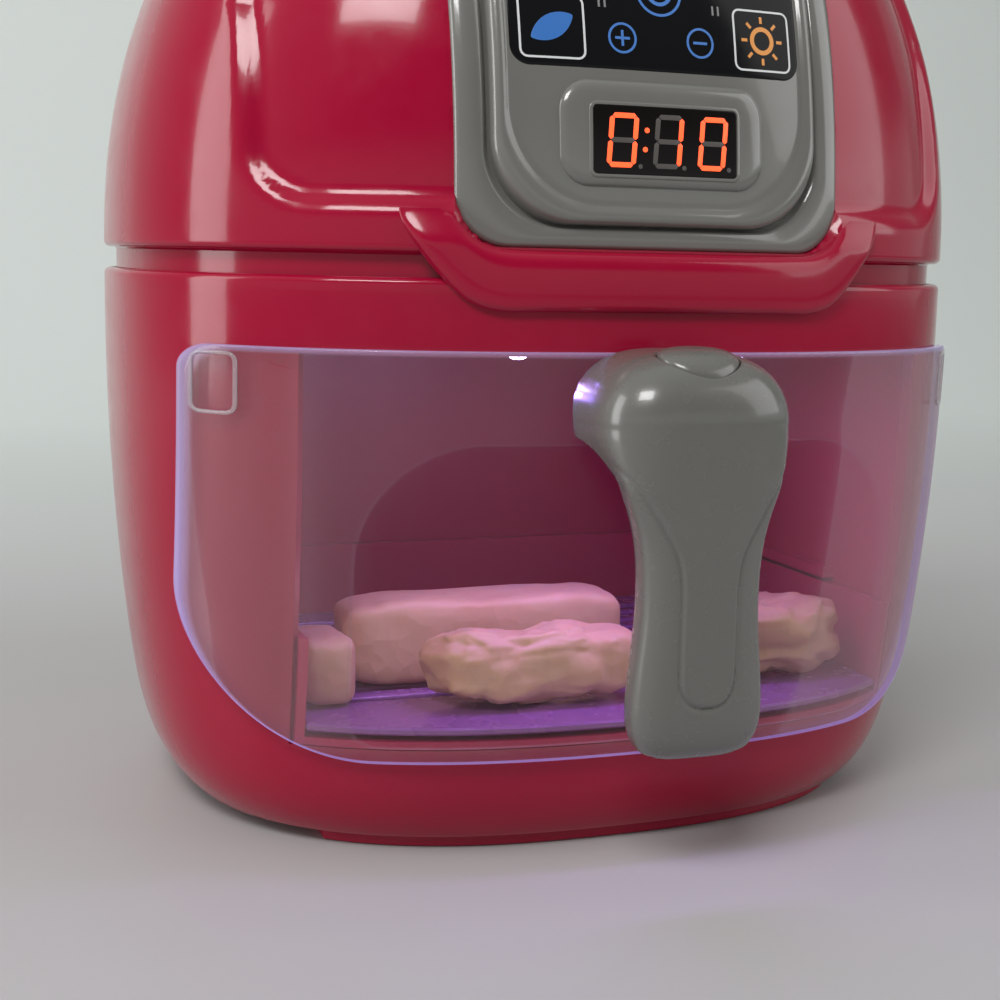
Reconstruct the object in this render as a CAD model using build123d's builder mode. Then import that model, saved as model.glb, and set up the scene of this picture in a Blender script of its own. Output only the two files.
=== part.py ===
from build123d import *
import os
from math import atan2, copysign, cos, exp, pi, sin

# A toy air fryer: a glossy oval housing in two halves over a pull-out drawer with a clear
# front, a grey control bezel and a grey handle. Millimetres, +Z up, front towards -Y, origin on
# the table under the middle of the housing.

os.makedirs("parts", exist_ok=True)

# Housing, overall
body_width = 190.0
body_depth = 150.0
body_height = 232.0
wall = 2.4
plan_power = 2.5
dome_power = 2.2
plan_points = 28

# Lower housing: a slow taper towards the table and a tight roll at the foot
lower_bottom = 3.0
lower_top = 116.0
belly_height = 108.0
belly_taper = 9.5
foot_roll = 10.5
foot_roll_height = 7.0

# Groove between the two housings, and the neck that shows inside it
groove_height = 4.5
neck_drop = 4.0
neck_clearance = 0.2
neck_wall = 2.2
ledge_width = 12.0
deck_drop = 7.2
deck_thickness = 2.0
upper_bottom = lower_top + groove_height
dome_rise = body_height - upper_bottom

# Set-back front face of the upper housing
scoop_depth = 2.5
scoop_width = 152.0
scoop_bottom = upper_bottom + 9.5
scoop_top = body_height - 24.0
scoop_corner = 10.0
scoop_top_corner = 46.0

# Raised apron under the control bezel, across the groove
apron_proud = 2.0
apron_lap_gap = 0.3
apron_bottom_width = 66.0
apron_top_width = 106.0
apron_drop = 6.0
apron_corner = 9.0

# Control bezel and what it carries
bezel_width = 81.4
bezel_bottom = upper_bottom + 1.4
bezel_top = upper_bottom + 83.0
bezel_corner = 10.0
bezel_top_corner = 24.0
bezel_clearance = 0.3
bezel_sink = 1.5
bezel_back = 5.2
bezel_rim_proud = 1.2
bezel_rim_inset = 5.5
bezel_rim_width = 4.0
flange_lap = 4.0
flange_root = 3.0
flange_thickness = 1.8
panel_width = 61.4
panel_height = 36.0
panel_bottom = upper_bottom + 35.0
panel_corner = 4.0
panel_thickness = 1.2
panel_clearance = 0.15
pod_width = 43.0
pod_height = 20.0
pod_bottom = upper_bottom + 13.0
pod_corner = 6.0
pod_proud = 1.6
window_width = 30.6
window_height = 13.2
window_bottom = upper_bottom + 15.3
window_corner = 1.0
window_clearance = 0.2
display_sink = 1.0

# Control board
board_width = 62.0
board_height = 60.0
board_thickness = 1.6
board_corner = 2.0
board_behind_skin = 16.0
board_middle = upper_bottom + 45.0
board_post_radius = 3.0
board_post_inset = 4.5
key_contact_radius = 2.4
chip_size = 12.0
chip_height = 1.6

# Fasteners
screw_radius = 1.45
screw_head_radius = 2.9
screw_head_height = 1.6
screw_cross_length = 3.2
screw_cross_width = 0.7
screw_fit = 0.03
screw_head_room = 0.4
board_screw_length = 6.0
lamp_screw_length = 4.0
base_screw_length = 12.0
dome_screw_length = 11.0
handle_screw_length = 11.0

# Base plate, its fixing posts and the battery bay
foot_width = 118.0
foot_inset = 2.4
foot_edge = 1.0
plate_thickness = 2.4
plate_clearance = 0.3
post_radius = 4.0
post_top = 20.0
post_cap = 2.0
post_rib = 2.0
post_x = 45.0
post_y = 46.0
cell_length = 50.5
cell_diameter = 14.5
cell_count = 3
cell_room = 0.4
contact_room = 3.2
contact_thickness = 0.5
contact_gap = 0.6
contact_width = 10.0
contact_height = 9.0
contact_spring_radius = 3.0
battery_wall = 1.5
door_thickness = 2.6
door_lap = 3.5
door_tab_length = 16.0
door_tab_width = 11.0
door_tab_back = 3.0
door_corner = 3.0
door_clearance = 0.3
door_groove_count = 5
door_groove_pitch = 2.4
door_groove_width = 1.0
door_groove_length = 14.0
door_groove_depth = 0.5
door_groove_inset = 9.0

# Drawer bay inside the lower housing
bay_half_width = 68.0
bay_bottom = 23.5
bay_top = 101.5
bay_corner = 8.0
bay_bottom_corner = 1.0
bay_back_room = 27.0
bay_wall = 2.0
bay_back_corner = 16.0
liner_clearance = 0.3
rail_width = 3.0
rail_height = 2.5
liner_post_x = 46.0
liner_post_y = 18.0

# Lamps above the bay
lamp_spacing = 24.0
lamp_y = -60.0
lamp_radius = 2.5
lamp_height = 4.5
lamp_drop = 1.3
lamp_hole_clearance = 0.2
lamp_board_width = 68.0
lamp_board_depth = 12.0
lamp_board_corner = 1.0
lamp_screw_inset = 4.0

# Drawer: clear front, tub and grill plate
shell_width = 175.0
shell_bottom = 21.2
shell_top = 102.5
shell_gap = 0.3
shell_thickness = 1.7
shell_corner = 34.0
shell_top_corner = 5.0
arch_width = 118.0
arch_bottom = 24.5
arch_top = 85.0
arch_corner = 24.0
arch_bottom_corner = 6.0
arch_sink = 0.35
tub_side_gap = 1.0
tub_floor_gap = 0.3
tub_back_gap = 3.0
tub_wall = 1.6
tub_height = 22.0
tub_front_gap = 0.2
grill_gap = 0.3
grill_thickness = 1.6
grill_foot = 1.2
grill_slot_pitch = 8.0
grill_slot_width = 3.2
grill_border = 7.0
grill_front_room = 28.0
grill_bar = 6.0
grill_foot_radius = 2.5

# Handle and release button
handle_face = 100.0
handle_top = 103.5
handle_bottom = 28.0
head_half_width = 19.5
head_bottom = 84.0
grip_half_width = 12.0
grip_end_half_width = 13.5
grip_thickness = 12.0
strip_half_width = 5.8
strip_bottom = 38.0
strip_depth = 3.0
seam_gap = 0.05
handle_edge = 3.0
button_width = 16.0
button_depth = 11.0
button_y = 88.0
button_clearance = 0.25
button_proud = 0.7
button_height = 11.5
button_travel = 2.5
spring_radius = 2.6
spring_length = 5.0
spring_wire = 0.6
latch_width = 7.0
latch_thickness = 2.4
latch_reach = 64.0
latch_gap = 0.3
handle_screw_x = 13.5
handle_screw_z = 92.5

# Speaker behind the back wall
speaker_radius = 18.0
speaker_depth = 8.0
speaker_height = upper_bottom + 34.0
speaker_ring_wall = 1.6
speaker_clearance = 0.2
speaker_standoff = 3.4
grille_hole_radius = 1.1
grille_pitch = 5.0
grille_rings = 3

# Power switch in the back wall
switch_height = 66.0
switch_recess_width = 24.0
switch_recess_height = 11.0
switch_recess_corner = 2.0
switch_recess_depth = 1.2
switch_travel = 4.0
knob_width = 7.0
knob_height = 4.4
knob_proud = 0.9
knob_clearance = 0.15
switch_body_width = 19.0
switch_body_height = 8.0
switch_body_depth = 6.0
switch_gap = 0.5

# Play food in the tub
food_edge = 3.0


def lower_half_width(z):
    """Half width of the lower housing at height z."""
    rise = min(z / belly_height, 1.0)
    return body_width / 2 - belly_taper * (1 - rise) ** 2 - foot_roll * exp(-z / foot_roll_height)


def oval_on(plane, half_width, half_depth, power=plan_power):
    """Squarish oval as one closed curve on a plane; a power of 2 is an ellipse."""
    points = []
    for step in range(plan_points):
        angle = 2 * pi * step / plan_points
        across = abs(cos(angle) / half_width) ** power
        along = abs(sin(angle) / half_depth) ** power
        reach = (across + along) ** (-1 / power)
        points.append((reach * cos(angle), reach * sin(angle)))
    with BuildSketch(plane) as section:
        with BuildLine():
            Spline(*points, periodic=True)
        make_face()
    return section.sketch


def oval(z, half_width, half_depth):
    """Plan section of the housing at height z."""
    return oval_on(Plane.XY.offset(z), half_width, half_depth)


def lower_section(z, inset):
    """Section of the lower housing at height z, drawn in by the inset."""
    half_width = lower_half_width(z)
    half_depth = half_width * body_depth / body_width
    return oval(z, half_width - inset, half_depth - inset)


def lower_form(bottom, top, inset, steps=13):
    """Solid with the lower housing's outside, drawn in by the inset, between two heights."""
    heights = [bottom + (top - bottom) * step / (steps - 1) for step in range(steps)]
    with BuildPart() as form:
        loft(sections=[lower_section(z, inset) for z in heights])
    return form.part


def dome_form(inset, steps=11):
    """Solid with the upper housing's outside, drawn in by the inset, from its lower edge up."""
    last_turn = 0.486 * pi
    rise = dome_rise - inset
    half_width = body_width / 2 - inset
    half_depth = body_depth / 2 - inset
    sections = []
    for step in range(steps):
        turn = last_turn * step / (steps - 1)
        spread = cos(turn) ** (2 / dome_power)
        lift = sin(turn) ** (2 / dome_power)
        sections.append(oval(upper_bottom + rise * lift, half_width * spread, half_depth * spread))
    with BuildPart() as form:
        loft(sections=sections)
    return form.part


def dome_front(z, inset=0.0):
    """Y of the upper housing's front on its middle line at height z."""
    lift = (z - upper_bottom) / (dome_rise - inset)
    return -(body_depth / 2 - inset) * (1 - lift ** dome_power) ** (1 / dome_power)


def belt_ring(bottom, top, outer_inset, inner_inset):
    """Upright oval ring at the housing's full size, between two insets."""
    with BuildPart() as ring:
        extrude(oval(bottom, body_width / 2 - outer_inset, body_depth / 2 - outer_inset), amount=top - bottom)
        hollow = oval(bottom, body_width / 2 - inner_inset, body_depth / 2 - inner_inset)
        extrude(hollow, amount=top - bottom, mode=Mode.SUBTRACT)
    return ring.part


def front_outline(width, bottom, top, bottom_corner, top_corner):
    """Upright outline seen from the front, with its own corner radius below and above."""
    with BuildSketch(Plane.XZ) as outline:
        with Locations((0, (bottom + top) / 2)):
            Rectangle(width, top - bottom)
        fillet(outline.vertices().group_by(Axis.Y)[0], bottom_corner)
        fillet(outline.vertices().group_by(Axis.Y)[-1], top_corner)
    return outline.sketch


def front_cut(outline, form):
    """The part of a form inside an outline seen from the front."""
    with BuildPart() as piece:
        extrude(outline, amount=body_depth, dir=(0, -1, 0))
        add(form, mode=Mode.INTERSECT)
    return piece.part


def front_patch(outline, outer_form, inner_form):
    """Curved plate between two forms, cut to an outline seen from the front."""
    with BuildPart() as patch:
        add(front_cut(outline, outer_form))
        add(inner_form, mode=Mode.SUBTRACT)
    return patch.part


def screw(length):
    """Pan-head screw, head on the XY plane and shank along +Z."""
    with BuildPart() as fastener:
        with BuildSketch(Plane.XY.offset(-screw_head_height)):
            Circle(screw_head_radius)
        extrude(amount=screw_head_height)
        fillet(fastener.edges().group_by(Axis.Z)[0], screw_head_height / 2.5)
        with BuildSketch(Plane.XY.offset(-screw_head_height)):
            Rectangle(screw_cross_length, screw_cross_width)
            Rectangle(screw_cross_width, screw_cross_length)
        extrude(amount=screw_head_height / 2, mode=Mode.SUBTRACT)
        with BuildSketch():
            Circle(screw_radius)
        extrude(amount=length)
        chamfer(fastener.edges().group_by(Axis.Z)[-1], screw_radius / 2)
    return fastener.part


def save(piece, label):
    """Label a finished sub-part and write its STEP file."""
    piece.part.label = label
    export_step(piece.part, f"parts/{label}.step")


outer_dome = dome_form(0)
inner_dome = dome_form(wall)
scooped_dome = dome_form(scoop_depth)
scooped_inner = dome_form(scoop_depth + wall)
lower_outside = lower_form(lower_bottom, lower_top, 0)

# Lower housing: shell, drawer opening, fixing posts, deck for the upper housing's screws
bay_back = body_depth / 2 - bay_back_room
deck_bottom = lower_top - deck_drop
neck_bottom = lower_top - neck_drop
dome_post_points = [(x * (body_width / 2 - 11), y) for x in (-1, 1) for y in (-20, 20)]
base_post_points = [(x * post_x, y * post_y) for x in (-1, 1) for y in (-1, 1)]
plate_top = lower_bottom + plate_thickness
switch_y = body_depth / 2 * lower_half_width(switch_height) / (body_width / 2)

with BuildPart() as lower_housing:
    add(lower_outside)
    add(lower_form(lower_bottom - 1, lower_top + 1, wall), mode=Mode.SUBTRACT)
    bay_mouth = front_outline(2 * bay_half_width, bay_bottom, bay_top, bay_bottom_corner, bay_corner)
    extrude(bay_mouth, amount=body_depth, dir=(0, -1, 0), mode=Mode.SUBTRACT)
    add(belt_ring(deck_bottom, deck_bottom + deck_thickness, wall - 0.5, wall + ledge_width))
    with Locations(*[(x, y, deck_bottom + deck_thickness) for x, y in dome_post_points]):
        Hole(screw_radius + screw_head_room / 2, depth=deck_thickness)
    # Posts under the drawer bay, each tied to the wall by a rib
    with BuildSketch(Plane.XY.offset(plate_top)):
        for x, y in base_post_points:
            with Locations((x, y)):
                Circle(post_radius)
            with Locations((x, (y + copysign(body_depth / 2, y)) / 2)):
                Rectangle(post_rib, body_depth / 2 - abs(y))
    extrude(amount=post_top - plate_top)
    add(lower_outside, mode=Mode.INTERSECT)
    with BuildSketch(Plane.XY.offset(plate_top)):
        with Locations(*base_post_points):
            Circle(screw_radius + screw_fit)
    extrude(amount=post_top - plate_top - post_cap, mode=Mode.SUBTRACT)
    # Recess and slot of the power switch
    with BuildSketch(Plane.XZ.offset(-switch_y - 1)):
        with Locations((0, switch_height)):
            RectangleRounded(switch_recess_width, switch_recess_height, switch_recess_corner)
    extrude(amount=1 + switch_recess_depth, mode=Mode.SUBTRACT)
    with BuildSketch(Plane.XZ.offset(-switch_y)):
        with Locations((0, switch_height)):
            Rectangle(knob_width + switch_travel + 2 * knob_clearance, knob_height + 2 * knob_clearance)
    extrude(amount=2 * wall, mode=Mode.SUBTRACT)
save(lower_housing, "lower_housing")

# Base plate: foot block, plate inside the housing and the battery bay standing on it
battery_inner_length = cell_length + 2 * contact_room
battery_inner_width = cell_count * (cell_diameter + cell_room)
battery_inner_height = cell_diameter + cell_room
door_length = battery_inner_length + 2 * door_lap
door_width = battery_inner_width + 2 * door_lap
battery_floor = door_thickness
battery_top = battery_floor + battery_inner_height
liner_post_points = [(x * liner_post_x, y * liner_post_y) for x in (-1, 1) for y in (-1, 1)]
base_screw_points = base_post_points + liner_post_points
foot_half_width = lower_half_width(lower_bottom) - foot_inset
foot_half_depth = foot_half_width * body_depth / body_width
door_screw_x = door_length / 2 + 5.0
door_screw_seat = screw_head_height + 0.3
base_screw_seat = screw_head_height + 0.8

with BuildPart() as base_plate:
    add(oval(0, foot_half_width, foot_half_depth))
    extrude(amount=lower_bottom)
    with BuildSketch():
        Rectangle(foot_width, body_depth)
    extrude(amount=lower_bottom, mode=Mode.INTERSECT)
    fillet(base_plate.edges().group_by(Axis.Z)[0], foot_edge)
    add(lower_form(lower_bottom, plate_top, wall + plate_clearance, steps=3))
    with BuildSketch():
        Rectangle(battery_inner_length + 2 * battery_wall, battery_inner_width + 2 * battery_wall)
    extrude(amount=battery_top + battery_wall)
    with BuildSketch():
        Rectangle(battery_inner_length, battery_inner_width)
    extrude(amount=battery_top, mode=Mode.SUBTRACT)
    with BuildSketch():
        RectangleRounded(door_length + 2 * door_clearance, door_width + 2 * door_clearance, door_corner)
        with Locations((door_screw_x - door_tab_back, 0)):
            RectangleRounded(door_tab_length + 2 * door_clearance, door_tab_width + 2 * door_clearance,
                             door_corner)
    extrude(amount=battery_floor, mode=Mode.SUBTRACT)
    with Locations((door_screw_x, 0, plate_top)):
        Hole(screw_radius + screw_fit)
    with BuildSketch():
        with Locations(*base_screw_points):
            Circle(screw_head_radius + screw_head_room)
    extrude(amount=base_screw_seat, mode=Mode.SUBTRACT)
    with Locations(*[(x, y, plate_top) for x, y in base_screw_points]):
        Hole(screw_radius + screw_head_room / 2)
save(base_plate, "base_plate")

with BuildPart() as battery_door:
    with BuildSketch():
        RectangleRounded(door_length, door_width, door_corner)
        with Locations((door_screw_x - door_tab_back, 0)):
            RectangleRounded(door_tab_length, door_tab_width, door_corner)
    extrude(amount=door_thickness)
    with Locations((door_screw_x, 0, battery_floor)):
        Hole(screw_radius + screw_head_room / 2)
    with BuildSketch():
        with Locations((door_screw_x, 0)):
            Circle(screw_head_radius + screw_head_room)
    extrude(amount=door_screw_seat, mode=Mode.SUBTRACT)
    with BuildSketch():
        with Locations((door_groove_inset - door_length / 2, 0)):
            with GridLocations(door_groove_pitch, 0, door_groove_count, 1):
                Rectangle(door_groove_width, door_groove_length)
    extrude(amount=door_groove_depth, mode=Mode.SUBTRACT)
save(battery_door, "battery_door")

with BuildPart() as battery_door_screw:
    with Locations((door_screw_x, 0, door_screw_seat)):
        add(screw(plate_top - door_screw_seat + 0.5))
save(battery_door_screw, "battery_door_screw")

contact_x = battery_inner_length / 2
cell_pitch = cell_diameter + cell_room
cell_middle_z = battery_floor + battery_inner_height / 2
contact_points = [((row - (cell_count - 1) / 2) * cell_pitch, cell_middle_z) for row in range(cell_count)]
with BuildPart() as battery_contacts:
    with BuildSketch(Plane.YZ.offset(contact_x - contact_thickness)):
        with Locations(*contact_points):
            Rectangle(contact_width, contact_height)
    extrude(amount=contact_thickness)
    with BuildSketch(Plane.YZ.offset(contact_x - contact_room + contact_gap)):
        with Locations(*contact_points):
            Circle(contact_spring_radius)
    extrude(amount=contact_room - contact_gap - contact_thickness)
    mirror(about=Plane.YZ)
save(battery_contacts, "battery_contacts")

with BuildPart() as base_screws:
    with Locations(*[(x, y, base_screw_seat) for x, y in base_screw_points]):
        add(screw(base_screw_length))
save(base_screws, "base_screws")

# Liner of the drawer bay: floor, sides, back, ceiling with lamp holes, guide rails and feet
liner_half_width = bay_half_width + bay_wall
lamp_points = [(step * lamp_spacing, lamp_y) for step in (-1, 0, 1)]
lamp_board_bottom = bay_top - lamp_drop + lamp_height
lamp_screw_x = lamp_board_width / 2 - lamp_screw_inset
rail_bottom = bay_bottom + tub_floor_gap + tub_height + 1.0


def bay_plan(z, half_width, back, corner):
    """Plan of the bay: straight sides, rounded back corners, open towards the front."""
    with BuildSketch(Plane.XY.offset(z)) as plan:
        with Locations((0, (back - body_depth) / 2)):
            Rectangle(2 * half_width, back + body_depth)
        fillet(plan.vertices().group_by(Axis.Y)[-1], corner)
    return plan.sketch


with BuildPart() as bay_liner:
    add(bay_plan(bay_bottom - bay_wall, liner_half_width, bay_back + bay_wall, bay_back_corner))
    extrude(amount=bay_top - bay_bottom + 2 * bay_wall)
    add(bay_plan(bay_bottom, bay_half_width, bay_back, bay_back_corner - bay_wall))
    extrude(amount=bay_top - bay_bottom, mode=Mode.SUBTRACT)
    with BuildSketch(Plane.XY.offset(rail_bottom)):
        with Locations((bay_half_width - rail_width / 2, 0), (-bay_half_width + rail_width / 2, 0)):
            Rectangle(rail_width, 2 * (bay_back - bay_back_corner))
    extrude(amount=rail_height)
    add(lower_form(lower_bottom, lower_top, wall + liner_clearance), mode=Mode.INTERSECT)
    with BuildSketch(Plane.XY.offset(plate_top)):
        with Locations(*liner_post_points):
            Circle(post_radius)
    extrude(amount=bay_bottom - bay_wall - plate_top)
    with BuildSketch(Plane.XY.offset(plate_top)):
        with Locations(*liner_post_points):
            Circle(screw_radius + screw_fit)
    extrude(amount=bay_bottom - bay_wall - plate_top - post_cap, mode=Mode.SUBTRACT)
    with BuildSketch(Plane.XY.offset(bay_top)):
        with Locations((lamp_screw_x, lamp_y), (-lamp_screw_x, lamp_y)):
            Circle(board_post_radius)
    extrude(amount=lamp_board_bottom - bay_top)
    with BuildSketch(Plane.XY.offset(bay_top)):
        with Locations((lamp_screw_x, lamp_y), (-lamp_screw_x, lamp_y)):
            Circle(screw_radius + screw_fit)
    extrude(amount=lamp_board_bottom - bay_top, mode=Mode.SUBTRACT)
    with BuildSketch(Plane.XY.offset(bay_top)):
        with Locations(*lamp_points):
            Circle(lamp_radius + lamp_hole_clearance)
    extrude(amount=bay_wall, mode=Mode.SUBTRACT)
save(bay_liner, "bay_liner")

with BuildPart() as lamp_board:
    with BuildSketch(Plane.XY.offset(lamp_board_bottom)):
        with Locations((0, lamp_y)):
            RectangleRounded(lamp_board_width, lamp_board_depth, lamp_board_corner)
        with Locations((lamp_screw_x, lamp_y), (-lamp_screw_x, lamp_y)):
            Circle(screw_radius + screw_head_room / 2, mode=Mode.SUBTRACT)
    extrude(amount=board_thickness)
save(lamp_board, "lamp_board")

with BuildPart() as lamps:
    with BuildSketch(Plane.XY.offset(bay_top - lamp_drop)):
        with Locations(*lamp_points):
            Circle(lamp_radius)
    extrude(amount=lamp_height)
    fillet(lamps.edges().group_by(Axis.Z)[0], lamp_radius * 0.8)
save(lamps, "lamps")

# Upper housing: dome with a set-back front, neck, ledge, apron, posts and speaker ring
apron_bottom = lower_top - apron_drop
apron_top = scoop_bottom - 1.5
dome_post_bottom = deck_bottom + deck_thickness + neck_clearance
speaker_lean = atan2(dome_front(speaker_height + 10) - dome_front(speaker_height - 10), 20.0)
speaker_plane = Plane(
    origin=(0, -dome_front(speaker_height, wall) - speaker_standoff, speaker_height),
    x_dir=(1, 0, 0),
    z_dir=(0, cos(speaker_lean), sin(speaker_lean)),
)


def apron_outline():
    """Outline of the apron: a wide top drawn in by two swept sides to a rounded bottom."""
    with BuildSketch(Plane.XZ) as outline:
        with BuildLine():
            right = Spline(
                (apron_top_width / 2, apron_top),
                (apron_bottom_width / 2 + 9, apron_top - 9),
                (apron_bottom_width / 2, apron_bottom + 2.5),
                (apron_bottom_width / 2 - apron_corner, apron_bottom),
                tangents=((-1, -0.6), (-1, 0)),
            )
            left = mirror(right, about=Plane.YZ)
            Line(right @ 1, left @ 1)
            Line(right @ 0, left @ 0)
        make_face()
    return outline.sketch


with BuildPart() as speaker_ring:
    with BuildSketch(speaker_plane.offset(-speaker_depth / 2)):
        Circle(speaker_radius + speaker_clearance + speaker_ring_wall)
        Circle(speaker_radius + speaker_clearance, mode=Mode.SUBTRACT)
    extrude(amount=speaker_depth + speaker_standoff + 4)
    add(outer_dome, mode=Mode.INTERSECT)

bezel_hole = front_outline(
    bezel_width + 2 * bezel_clearance,
    bezel_bottom - bezel_clearance,
    bezel_top + bezel_clearance,
    bezel_corner,
    bezel_top_corner,
)
scoop_outline = front_outline(scoop_width, scoop_bottom, scoop_top, scoop_corner, scoop_top_corner)
scoop_backing = front_outline(
    scoop_width + 2 * wall, scoop_bottom - wall, scoop_top + wall, scoop_corner, scoop_top_corner
)
apron_lap = belt_ring(apron_bottom, lower_top + apron_lap_gap, -apron_proud, -apron_lap_gap)
apron_root = belt_ring(lower_top + apron_lap_gap, apron_top, -apron_proud, wall)

with BuildPart() as upper_housing:
    add(outer_dome)
    add(inner_dome, mode=Mode.SUBTRACT)
    add(front_patch(scoop_backing, dome_form(wall / 2), scooped_inner))
    add(front_patch(scoop_outline, dome_form(-1), scooped_dome), mode=Mode.SUBTRACT)
    add(belt_ring(upper_bottom, upper_bottom + wall, wall / 2, wall + ledge_width))
    add(belt_ring(neck_bottom, upper_bottom, wall + neck_clearance, wall + neck_clearance + neck_wall))
    add(front_cut(apron_outline(), apron_lap))
    add(front_cut(apron_outline(), apron_root))
    extrude(bezel_hole, amount=body_depth, dir=(0, -1, 0), mode=Mode.SUBTRACT)
    with BuildSketch(Plane.XY.offset(dome_post_bottom)):
        with Locations(*dome_post_points):
            Circle(post_radius)
    extrude(amount=upper_bottom + wall / 2 - dome_post_bottom)
    with BuildSketch(Plane.XY.offset(dome_post_bottom)):
        with Locations(*dome_post_points):
            Circle(screw_radius + screw_fit)
    extrude(amount=upper_bottom - dome_post_bottom, mode=Mode.SUBTRACT)
    add(speaker_ring.part)
    # Sound holes in rings of six, twelve and so on over the speaker
    with BuildSketch(speaker_plane):
        Circle(grille_hole_radius)
        for ring in range(1, grille_rings):
            with PolarLocations(ring * grille_pitch, 6 * ring):
                Circle(grille_hole_radius)
    extrude(amount=20, mode=Mode.SUBTRACT)
save(upper_housing, "upper_housing")

with BuildPart() as dome_screws:
    with Locations(*[(x, y, deck_bottom) for x, y in dome_post_points]):
        add(screw(dome_screw_length))
save(dome_screws, "dome_screws")

with BuildPart() as speaker:
    with BuildSketch(speaker_plane):
        Circle(speaker_radius)
    extrude(amount=-speaker_depth / 2)
    with BuildSketch(speaker_plane.offset(-speaker_depth / 2)):
        Circle(speaker_radius * 0.6)
    extrude(amount=-speaker_depth / 2)
    with BuildSketch(speaker_plane):
        Circle(speaker_radius * 0.8)
    extrude(amount=-1.2, taper=30, mode=Mode.SUBTRACT)
save(speaker, "speaker")

# Control bezel: curved plate with a raised rim, display pod, panel seat, flange and board posts
board_half = board_height / 2
board_top_y = dome_front(board_middle + board_half)
board_bottom_y = dome_front(board_middle - board_half)
board_lean = atan2(board_top_y - board_bottom_y, board_height)
board_plane = Plane(
    origin=(0, dome_front(board_middle) + board_behind_skin, board_middle),
    x_dir=(1, 0, 0),
    z_dir=(0, -cos(board_lean), sin(board_lean)),
)
board_post_grid = (board_width - 2 * board_post_inset, board_height - 2 * board_post_inset, 2, 2)
window_middle = window_bottom + window_height / 2
display_lean = atan2(
    dome_front(window_bottom + window_height) - dome_front(window_bottom), window_height
)
display_plane = Plane(
    origin=(0, dome_front(window_middle, bezel_sink - pod_proud) + display_sink, window_middle),
    x_dir=(1, 0, 0),
    z_dir=(0, -cos(display_lean), sin(display_lean)),
)
bezel_face = dome_form(bezel_sink)
bezel_rear = dome_form(bezel_back)
panel_seat = dome_form(bezel_sink + panel_thickness)
rim_width = bezel_width - 2 * bezel_rim_inset
rim_bottom = bezel_bottom + bezel_rim_inset
rim_top = bezel_top - bezel_rim_inset
bezel_outline = front_outline(bezel_width, bezel_bottom, bezel_top, bezel_corner, bezel_top_corner)
flange_rear = dome_form(bezel_back + flange_thickness)
flange_outline = front_outline(
    bezel_width + 2 * flange_lap, bezel_bottom + 2, bezel_top + flange_lap, bezel_corner, bezel_top_corner
)
flange_hollow = front_outline(
    bezel_width - 2 * flange_root,
    bezel_bottom + 2 + flange_root,
    bezel_top - flange_root,
    bezel_corner - flange_root,
    bezel_top_corner - flange_root,
)
rim_outline = front_outline(rim_width, rim_bottom, rim_top, bezel_corner, bezel_top_corner - 4)
rim_hollow = front_outline(
    rim_width - 2 * bezel_rim_width,
    rim_bottom + bezel_rim_width,
    rim_top - bezel_rim_width,
    bezel_corner - 3,
    bezel_top_corner - 7,
)
panel_hole = front_outline(
    panel_width + 2 * panel_clearance,
    panel_bottom - panel_clearance,
    panel_bottom + panel_height + panel_clearance,
    panel_corner,
    panel_corner,
)
panel_outline = front_outline(
    panel_width, panel_bottom, panel_bottom + panel_height, panel_corner, panel_corner
)
pod_outline = front_outline(pod_width, pod_bottom, pod_bottom + pod_height, pod_corner, pod_corner)
rim_face = dome_form(bezel_sink - bezel_rim_proud)
pod_face = dome_form(bezel_sink - pod_proud)
inside_bezel = dome_form(bezel_sink + 1.8)

with BuildPart() as board_posts:
    with BuildSketch(board_plane):
        with GridLocations(*board_post_grid):
            Circle(board_post_radius)
            Circle(screw_radius + screw_fit, mode=Mode.SUBTRACT)
    extrude(amount=body_depth / 2)
    add(inside_bezel, mode=Mode.INTERSECT)

with BuildPart() as control_bezel:
    add(front_patch(flange_outline, bezel_rear, flange_rear))
    extrude(flange_hollow, amount=body_depth, dir=(0, -1, 0), mode=Mode.SUBTRACT)
    add(front_patch(bezel_outline, bezel_face, bezel_rear))
    add(front_patch(rim_outline, rim_face, bezel_rear))
    add(front_patch(rim_hollow, rim_face, bezel_face), mode=Mode.SUBTRACT)
    add(front_patch(pod_outline, pod_face, bezel_rear))
    add(front_patch(panel_hole, bezel_face, panel_seat), mode=Mode.SUBTRACT)
    add(board_posts.part)
    with BuildSketch(display_plane.offset(5)):
        RectangleRounded(window_width, window_height, window_corner)
    extrude(amount=-body_depth / 4, mode=Mode.SUBTRACT)
save(control_bezel, "control_bezel")

with BuildPart() as touch_panel:
    add(front_patch(panel_outline, bezel_face, panel_seat))
save(touch_panel, "touch_panel")

with BuildPart() as display_module:
    with BuildSketch(display_plane):
        RectangleRounded(window_width - 2 * window_clearance, window_height - 2 * window_clearance,
                         window_corner)
    extrude(amount=-body_depth / 4)
    with BuildSketch(board_plane):
        Rectangle(2 * board_width, 3 * board_height)
    extrude(amount=-body_depth / 2, mode=Mode.SUBTRACT)
save(display_module, "display_module")

# Keys under the touch panel: four function keys, a power key and a pair for the time
function_keys = [(x * 22.0, y) for x in (-1, 1) for y in (-1.0, 17.0)]
time_keys = [(x * 8.0, -5.0) for x in (-1, 1)]
key_points = function_keys + time_keys + [(0.0, 6.0)]

with BuildPart() as touch_contacts:
    with BuildSketch(board_plane):
        with Locations(*key_points):
            Circle(key_contact_radius)
            Circle(key_contact_radius * 0.7, mode=Mode.SUBTRACT)
    extrude(amount=body_depth / 2)
    add(bezel_rear, mode=Mode.INTERSECT)
save(touch_contacts, "touch_contacts")

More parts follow.
